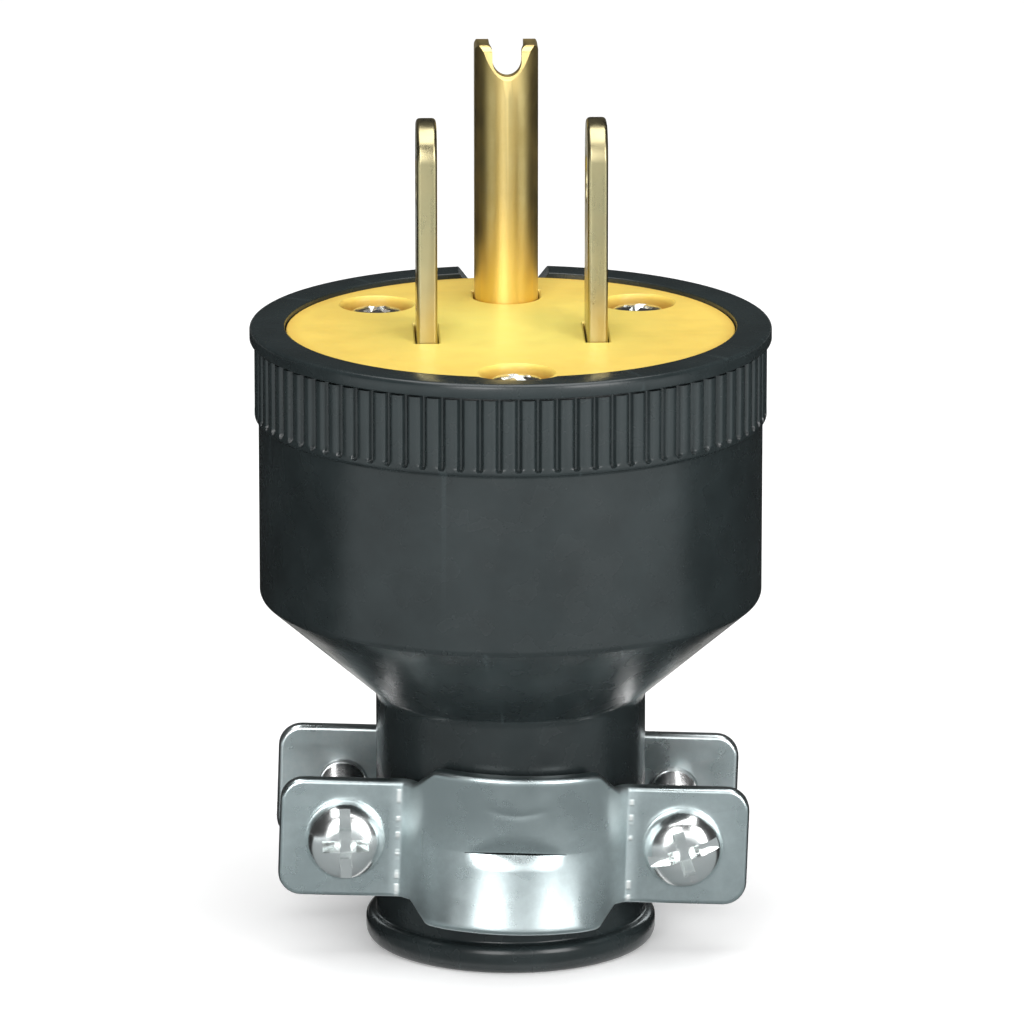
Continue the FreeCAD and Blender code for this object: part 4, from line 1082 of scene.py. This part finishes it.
class PLUG_OT_clamp_halves(bpy.types.Operator):
    """Fold the two halves of the cord clamp with saddle, ears and lanced slit"""
    bl_idname = "plug.clamp_halves"
    bl_label = "Clamp halves"
    bl_options = {"REGISTER", "UNDO"}

    def execute(self, context):
        size = context.scene.plug_clamp
        zinc = context.scene.plug_finish.sheet
        side = context.scene.plug_screws.clamp_side
        front = clamp_material("zinc_sheet_front", zinc, size)
        # painted light: the rear half gets the same zinc made 1.4 times lighter, in place of the light that
        # reaches the rear ears
        rear = clamp_material("zinc_sheet_rear_painted_light", shade(zinc, 1.4), size)
        for node, flip, hole, metal in (
                ("clamp_front_half", 1.0, size.hole, front),
                ("clamp_rear_half", -1.0, size.tapped_hole, rear)):
            half = as_object(node + "_folded", self.fold(size, flip))
            thicken(half, size.sheet)
            self.thin(half, size)
            self.finish(half, size, flip, hole, side)
            hand_over(half, metal, "zinc_sheet", node, sharp=40.0)
        return {"FINISHED"}

    def fold(self, size, flip):
        """The middle surface of one half."""
        middle = size.saddle_inner + size.sheet / 2
        ear = size.ear_face - size.sheet / 2
        bend_reach = middle + size.bend
        bend_depth = ear + size.bend
        bend_side = math.sqrt(bend_reach ** 2 - bend_depth ** 2)
        bend_turn = math.acos(bend_depth / bend_reach)
        saddle_turn = 2.0 * math.asin(bend_side / bend_reach)
        low = SHEET_ROWS[0] * size.saddle_half
        bm = bmesh.new()
        first = bm.verts.new((size.ear_end, -ear, low))
        last = bm.verts.new((bend_side, -ear, low))
        bm.edges.new((first, last))
        for centre, angle, steps in (
                (Vector((bend_side, -bend_depth, 0.0)), bend_turn, 6),
                (CENTRE, -saddle_turn, 48),
                (Vector((-bend_side, -bend_depth, 0.0)), bend_turn, 6)):
            last = swing(bm, last, centre, angle, steps)
        end = bm.verts.new((-size.ear_end, -ear, low))
        bm.edges.new((last, end))
        rises = [(upper - lower) * size.saddle_half for lower, upper in zip(SHEET_ROWS, SHEET_ROWS[1:])]
        draw_up(bm, list(bm.edges), rises)
        self.trim(bm, size, bend_side)
        self.press(bm, size)
        bmesh.ops.recalc_face_normals(bm, faces=list(bm.faces))
        if flip < 0.0:
            flip_over(bm, (1.0, -1.0, 1.0))
        return bm

    def trim(self, bm, size, bend_side):
        """Bring the saddle and ears to their outline, cut the slit and round the ears."""
        slope = size.saddle_half + size.saddle_corner
        for vertex in bm.verts:
            half = max(size.ear_half, min(size.saddle_half, slope - abs(vertex.co.x)))
            vertex.co.z *= half / size.saddle_half
        slit_row = 0.01 * size.saddle_half
        slit = [face for face in bm.faces if abs(face.calc_center_median().z) < slit_row
                and abs(face.calc_center_median().x) < size.slit_half]
        bmesh.ops.delete(bm, geom=slit, context="FACES")
        for side in (-1.0, 1.0):
            ear = [face for face in bm.faces
                   if min(side * vertex.co.x for vertex in face.verts) > bend_side - TINY]
            bmesh.ops.dissolve_faces(bm, faces=ear, use_verts=True)
        corners = [vertex for vertex in bm.verts if abs(vertex.co.x) > size.ear_end - TINY]
        if len(corners) != 4:
            raise RuntimeError("the ears have %d corners" % len(corners))
        for corner in corners:
            round_corner(bm, corner, size.ear_round, 8)

    def press(self, bm, size):
        """Let the edges of the saddle stand out, bend the upper lip of the slit and stamp the small dent."""
        full_half = 4.4 * MM
        fade_out = 3.2 * MM
        lower_lip = 0.08
        lower_slope = 0.62
        lower_curve = 0.32
        upper_flare = 0.15 * MM
        lip_height = 2.4 * MM
        dent_half = 2.4 * MM
        dent_height = 3.15 * MM
        dent_width = 0.2 * MM
        dent_depth = 0.04 * MM
        bow_half = 2.2 * MM
        bow_rise = 0.5 * MM
        for vertex in bm.verts:
            across = (abs(vertex.co.x) - full_half) / fade_out
            if across >= 1.0:
                continue
            fade = (1.0 - max(0.0, across) ** 2) ** 2
            height = vertex.co.z / size.saddle_half
            lens = max(0.0, 1.0 - (vertex.co.x / size.slit_half) ** 2)
            if height < 0.0:
                stand = lower_lip * lens - lower_slope * height + lower_curve * height ** 2
                depth = size.lower_flare * fade * stand
            else:
                depth = upper_flare * fade * height ** 2
                bow = dent_height + bow_rise * (vertex.co.x / bow_half) ** 2
                ends = max(0.0, 1.0 - (vertex.co.x / dent_half) ** 2)
                depth -= dent_depth * ends * math.exp(-((vertex.co.z - bow) / dent_width) ** 2)
                vertex.co.z += size.slit_lens * lens * max(0.0, 1.0 - vertex.co.z / lip_height) ** 2
            radius = vertex.co.xy.length
            vertex.co.xy *= (radius + depth) / radius

    def thin(self, half, size):
        """Press the outer skin in over the slit, the bore stays as it is."""
        middle = size.saddle_inner + size.sheet / 2
        press_height = 1.4 * MM
        least = 0.05
        for vertex in half.data.vertices:
            radius = vertex.co.xy.length
            if vertex.co.z < 0.0 or radius < middle or abs(vertex.co.x) > size.slit_half:
                continue
            lens = 1.0 - (vertex.co.x / size.slit_half) ** 2
            near = max(0.0, 1.0 - vertex.co.z / (press_height * max(lens, least)))
            vertex.co.xy *= 1.0 - size.slit_press * lens * near / radius

    def finish(self, half, size, flip, hole, side):
        """Round the edges, drill the ears and set the half on the neck."""
        turned = 50.0
        edge_round = 0.36 * MM
        lip_round = 0.38 * MM
        round_steps = 4
        slit = size.slit_half + 0.5 * MM

        def at_slit(edge, low, high):
            return all(abs(vertex.co.x) < slit and low < vertex.co.z < high for vertex in edge.verts)

        def outline(edge):
            return is_sharp(edge, turned) and not at_slit(edge, -1.2 * MM, 1.2 * MM)

        def lower_lip(edge):
            return is_sharp(edge, turned) and edge.is_convex and at_slit(edge, -0.3 * MM, 0.0)

        rework(half, outline, edge_round, round_steps)
        rework(half, lower_lip, lip_round, round_steps)
        past = 0.8 * MM
        flare = 1.0 * MM
        inner = size.ear_face - size.sheet - past
        outer = size.ear_face + past
        back = Matrix.Rotation(flip * math.pi / 2, 4, "X")
        drills = [lathe([
            (0.0, inner), (hole + flare, inner), (hole, inner + flare), (hole, outer - flare),
            (hole + flare, outer), (0.0, outer),
        ], 40, Matrix.Translation((place, 0.0, 0.0)) @ back) for place in (-side, side)]
        carve(half, together(*drills))
        half.data.transform(clamp_place(size))


def clamp_place(size):
    """Where the slanted clamp sits on the neck."""
    return Matrix.Translation((0.0, 0.0, size.height)) @ Matrix.Rotation(size.tilt, 4, "Y")


def clamp_material(name, base, size):
    """Zinc plated sheet with soft clouds, painted shade on the upper saddle, and bright marks along the folds
    that are painted highlights over real tool marks.
    """
    bend_side = 8.2 * MM
    fold_side = 8.75 * MM
    bright = (0.90, 0.93, 0.92)
    make = Nodes(name)
    make.give("Metallic", 1.0)
    clouds = make.ramp(make.noise(240.0, 5.0, 0.62), 0.36, 0.68)
    body = make.mix(clouds, base, shade(base, 0.84))
    specks = make.ramp(make.noise(1500.0, 3.0, 0.7), 0.40, 0.66)
    body = make.mix(make.math("MULTIPLY", specks, 0.22), body, shade(base, 1.25))
    height = make.math("SUBTRACT", make.axis("Z"), size.height)
    along = make.math("SUBTRACT", make.axis("X"), make.math("MULTIPLY", height, math.tan(size.tilt)))
    away = make.math("ABSOLUTE", along)
    # painted shade: the upper saddle is darkened where it mirrors the floor close under the plug
    upper = make.ramp(height, 0.3 * MM, 3.0 * MM, 0.0, 0.85)
    saddle = make.ramp(away, bend_side - 1.0 * MM, bend_side, 1.0, 0.0)
    body = make.mix(make.math("MULTIPLY", upper, saddle), body, shade(base, 0.75))
    # painted highlight: bright dots along the folds stand for the folds catching the light, over the real
    # tool marks that the bump gives
    fold = make.ramp(make.off(away, fold_side), 0.06 * MM, 0.24 * MM, 1.0, 0.0)
    dots = make.ramp(make.noise(1.0, 1.0, 0.5, make.stretch((150.0, 150.0, 1900.0))), 0.50, 0.62)
    marks = make.math("MULTIPLY", fold, dots)
    body = make.mix(marks, body, bright)
    body = make.mix(make.worn(), body, shade(base, 1.3))
    make.give("Base Color", body)
    lines = make.noise(1.0, 3.0, 0.6, make.stretch((90.0, 1100.0, 1100.0)))
    both = make.math("ADD", make.math("MULTIPLY", lines, 0.4), make.math("MULTIPLY", clouds, 0.6))
    bend = make.ramp(make.off(away, bend_side), 0.3 * MM, 1.3 * MM, 0.22, 0.0)
    dull = make.math("ADD", make.ramp(both, 0.25, 0.75, 0.25, 0.35), bend)
    make.give("Roughness", dull)
    grain = make.bump(lines, 0.05, 0.03 * MM)
    make.give("Normal", make.bump(marks, 0.35, 0.08 * MM, grain))
    return make.material


class PLUG_OT_clamp_screws(bpy.types.Operator):
    """Turn the two clamp screws with threads and combined slot and cross"""
    bl_idname = "plug.clamp_screws"
    bl_label = "Clamp screws"
    bl_options = {"REGISTER", "UNDO"}

    def execute(self, context):
        size = context.scene.plug_screws
        clamp = context.scene.plug_clamp
        metal = metal_material(
            "clamp_screw_zinc", context.scene.plug_finish.screw, 0.17, 0.29, CROSS_BRUSH, (0.92, 0.96, 0.955))
        thread_depth = 0.38 * MM
        side_part = 0.52
        crown_part = 0.62
        root = size.clamp_shank - thread_depth
        end = -size.clamp_length
        for name, place, spin in (
                ("clamp_screw_left", -size.clamp_side, size.left_turn),
                ("clamp_screw_right", size.clamp_side, size.right_turn)):
            screw = as_object(name, lathe([
                (0.0, end),
                (root - 0.3 * MM, end),
                (root, end + 0.4 * MM),
                (root, 0.0),
                (size.clamp_head, 0.0, 0.15 * MM, 2),
                (size.clamp_head, size.clamp_head_height * side_part, 0.8 * MM, 6),
                (size.clamp_head * crown_part, size.clamp_head_height, 0.8 * MM, 6),
                (0.0, size.clamp_head_height),
            ], 64))
            cuts = drive_cuts(
                arm_half=0.5 * MM, arm_length=1.8 * MM, depth=1.4 * MM, slot_half=0.42 * MM,
                slot_length=4.0 * MM)
            cut_drive(screw, cuts, size.clamp_head_height, spin)
            ridge = thread(size.clamp_shank, root, size.clamp_pitch, end + 0.5 * MM, -0.9 * MM)
            put_back(together(opened(screw), ridge), screw)
            forward = Matrix.Translation((place, -clamp.ear_face, 0.0)) @ Matrix.Rotation(math.pi / 2, 4, "X")
            screw.data.transform(clamp_place(clamp) @ forward)
            hand_over(screw, metal, "zinc_screw", "clamp_screws", sharp=30.0)
        return {"FINISHED"}


class PLUG_OT_inner_parts(bpy.types.Operator):
    """Give the pieces inside the shell their materials"""
    bl_idname = "plug.inner_parts"
    bl_label = "Inner parts"
    bl_options = {"REGISTER", "UNDO"}

    def execute(self, context):
        finish = context.scene.plug_finish
        brass = metal_material("plate_brass", finish.brass, 0.25, 0.4, CROSS_BRUSH, shade(finish.brass, 0.8))
        nickel = metal_material(
            "plate_nickel", finish.nickel, 0.25, 0.4, CROSS_BRUSH, shade(finish.nickel, 0.8))
        green = metal_material("screw_green", finish.green, 0.3, 0.45, CROSS_BRUSH, shade(finish.green, 0.7))
        wear = {
            "terminal_block": plastic_material("dark_plastic", finish.block),
            "line_terminal_screw": brass,
            "line_wire_plate": brass,
            "ground_wire_plate": brass,
            "neutral_terminal_screw": nickel,
            "neutral_wire_plate": nickel,
            "ground_terminal_screw": green,
        }
        for node, material in wear.items():
            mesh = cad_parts[node].data
            for index in range(len(mesh.materials)):
                mesh.materials[index] = material
            if not mesh.materials:
                mesh.materials.append(material)
        return {"FINISHED"}


class PLUG_OT_stage(bpy.types.Operator):
    """Set up the floor, the studio light and the camera"""
    bl_idname = "plug.stage"
    bl_label = "Stage"
    bl_options = {"REGISTER", "UNDO"}

    def execute(self, context):
        stage = context.scene.plug_stage
        self.floor(stage)
        self.lights(context.scene, stage)
        self.camera(context.scene, stage)
        context.scene.view_settings.view_transform = "Standard"
        return {"FINISHED"}

    def floor(self, stage):
        """A wide pale floor under the flange."""
        floor_radius = 4.0
        glow = 0.25
        bm = bmesh.new()
        bmesh.ops.create_circle(bm, cap_ends=True, segments=96, radius=floor_radius)
        bmesh.ops.translate(bm, vec=(0.0, 0.0, CAD_BOX[0][2]), verts=list(bm.verts))
        floor = as_object("floor", bm)
        make = Nodes("floor_pale")
        clouds = make.ramp(make.noise(6.0, 2.0), 0.3, 0.7)
        tone = make.mix(clouds, stage.floor, shade(stage.floor, 0.985))
        make.give("Base Color", tone)
        make.give("Roughness", 0.9)
        make.give("Specular IOR Level", 0.1)
        path = make.add("ShaderNodeLightPath")
        seen = make.math("MAXIMUM", path.outputs["Is Camera Ray"], path.outputs["Is Glossy Ray"])
        seen = make.math("MAXIMUM", seen, path.outputs["Is Transmission Ray"])
        make.give("Emission Strength", make.math("MULTIPLY", seen, glow))
        make.give("Emission Color", (1.0, 1.0, 1.0, 1.0))
        floor.data.materials.append(make.material)
        self.card(stage)

    def card(self, stage):
        """A card on the floor that only shows in reflections, as a painted reflection: grey in front and
        lighter to the wings, with a painted shadow that darkens it close to the plug, dark at the sides, and
        white close behind.
        """
        inner_radius = 12.5 * MM
        outer_radius = 900.0 * MM
        lift = 0.2 * MM
        black = (0.02, 0.02, 0.02)
        white = (0.95, 0.95, 0.92)
        bm = bmesh.new()
        inner = bm.verts.new((inner_radius, 0.0, lift))
        outer = bm.verts.new((outer_radius, 0.0, lift))
        edge = bm.edges.new((inner, outer))
        bmesh.ops.spin(
            bm, geom=[inner, outer, edge], cent=CENTRE, axis=AXIS, dvec=CENTRE, angle=math.tau, steps=96,
            use_merge=True, use_duplicate=False)
        close_up(bm)
        card = as_object("studio_card", bm)
        make = Nodes("studio_card")
        ahead = make.math("MULTIPLY", make.axis("Y"), -1.0)
        angle = make.math("ABSOLUTE", make.math("ARCTAN2", make.axis("X"), ahead))
        radius = make.radius()

        def between(first, last, start=0.0, end=1.0):
            return make.ramp(angle, math.radians(first), math.radians(last), start, end)

        soft = math.radians(4.0)
        side = make.ramp(angle, stage.card_half - soft, stage.card_half + soft)
        behind = between(168.0, 172.0, 1.0, 0.0)
        # painted shadow: the front of the card is darker close to the plug
        near = make.ramp(radius, 70.0 * MM, 170.0 * MM)
        middle = make.mix(near, shade(stage.card, 0.42), shade(stage.card, 0.92))
        wings = make.mix(near, shade(stage.card, 0.45), shade(stage.card, 1.18))
        front = make.mix(between(15.0, 50.0), middle, wings)
        close = make.ramp(radius, 50.0 * MM, 60.0 * MM, 1.0, 0.0)
        dark = make.mix(make.math("MULTIPLY", between(141.0, 146.0), close), black, white)
        tone = make.mix(make.math("MULTIPLY", side, behind), front, dark)
        make.give("Base Color", tone)
        make.give("Roughness", 1.0)
        make.give("Specular IOR Level", 0.0)
        card.data.materials.append(make.material)
        card.visible_camera = False
        card.visible_diffuse = False
        card.visible_shadow = False
        card.visible_transmission = False

    def panel(self, scene, name, place, aim, width, height, strength):
        """A soft light panel that looks at a point."""
        light = bpy.data.lights.new(name, "AREA")
        light.shape = "RECTANGLE"
        light.size = width
        light.size_y = height
        light.energy = strength
        lamp = bpy.data.objects.new(name, light)
        lamp.location = place
        lamp.rotation_euler = (Vector(aim) - Vector(place)).to_track_quat("-Z", "Y").to_euler()
        lamp.visible_camera = False
        scene.collection.objects.link(lamp)

    def lights(self, scene, stage):
        """A top panel, three front panels and an even fill."""
        aim = (0.0, 0.0, 0.035)
        self.panel(scene, "top_panel", (0.0, -0.1, 0.9), aim, 1.0, 1.0, 10.5 * stage.top_light)
        self.panel(scene, "left_panel", (-0.21, -0.76, 0.3), aim, 0.3, 0.6, 2.6 * stage.front_light)
        self.panel(scene, "right_panel", (0.46, -0.64, 0.3), aim, 0.32, 0.6, 3.5 * stage.front_light)
        self.panel(scene, "front_panel", (0.05, -1.1, 0.28), aim, 1.5, 0.5, 2.5 * stage.front_light)
        world = bpy.data.worlds.new("studio")
        world.use_nodes = True
        back = world.node_tree.nodes["Background"]
        back.inputs["Color"].default_value = (1.0, 1.0, 1.0, 1.0)
        back.inputs["Strength"].default_value = stage.fill_light
        scene.world = world

    def camera(self, scene, stage):
        """The camera of the photograph."""
        back = Vector((
            math.sin(stage.azimuth) * math.cos(stage.elevation),
            -math.cos(stage.azimuth) * math.cos(stage.elevation),
            math.sin(stage.elevation)))
        right = Vector((math.cos(stage.azimuth), math.sin(stage.azimuth), 0.0))
        target = Vector((0.0, 0.0, stage.target_height))
        data = bpy.data.cameras.new("camera")
        data.sensor_fit = "HORIZONTAL"
        data.sensor_width = 36.0
        data.lens = stage.lens
        data.clip_start = 0.01
        data.clip_end = 20.0
        camera = bpy.data.objects.new("camera", data)
        camera.location = target + back * stage.distance + right * stage.sideways
        camera.rotation_euler = back.to_track_quat("Z", "Y").to_euler()
        scene.collection.objects.link(camera)
        scene.camera = camera


GROUPS = (
    ("plug_shell", PlugShell),
    ("plug_face", PlugFace),
    ("plug_pins", PlugPins),
    ("plug_clamp", PlugClamp),
    ("plug_screws", PlugScrews),
    ("plug_finish", PlugFinish),
    ("plug_stage", PlugStage),
)

OPERATORS = (
    PLUG_OT_rubber_body,
    PLUG_OT_face_plate,
    PLUG_OT_blades,
    PLUG_OT_ground_pin,
    PLUG_OT_face_screws,
    PLUG_OT_clamp_halves,
    PLUG_OT_clamp_screws,
    PLUG_OT_inner_parts,
    PLUG_OT_stage,
)


class PLUG_PT_panel(bpy.types.Panel):
    """Lists the pieces of the plug"""
    bl_idname = "PLUG_PT_panel"
    bl_label = "Plug"
    bl_space_type = "VIEW_3D"
    bl_region_type = "UI"
    bl_category = "Plug"

    def draw(self, context):
        for operator in OPERATORS:
            self.layout.operator(operator.bl_idname)
        for name, group in GROUPS:
            box = self.layout.box()
            settings = getattr(context.scene, name)
            for key in group.__annotations__:
                box.prop(settings, key)


def register():
    """Make the pieces known to Blender."""
    for name, group in GROUPS:
        bpy.utils.register_class(group)
        setattr(bpy.types.Scene, name, bpy.props.PointerProperty(type=group))
    for operator in OPERATORS:
        bpy.utils.register_class(operator)
    bpy.utils.register_class(PLUG_PT_panel)


def unregister():
    """Take the pieces away again."""
    bpy.utils.unregister_class(PLUG_PT_panel)
    for operator in reversed(OPERATORS):
        bpy.utils.unregister_class(operator)
    for name, group in reversed(GROUPS):
        delattr(bpy.types.Scene, name)
        bpy.utils.unregister_class(group)


def main():
    """Build every piece in order."""
    register()
    bpy.ops.plug.rubber_body()
    bpy.ops.plug.face_plate()
    bpy.ops.plug.blades()
    bpy.ops.plug.ground_pin()
    bpy.ops.plug.face_screws()
    bpy.ops.plug.clamp_halves()
    bpy.ops.plug.clamp_screws()
    bpy.ops.plug.inner_parts()
    bpy.ops.plug.stage()


if __name__ == "__main__":
    main()
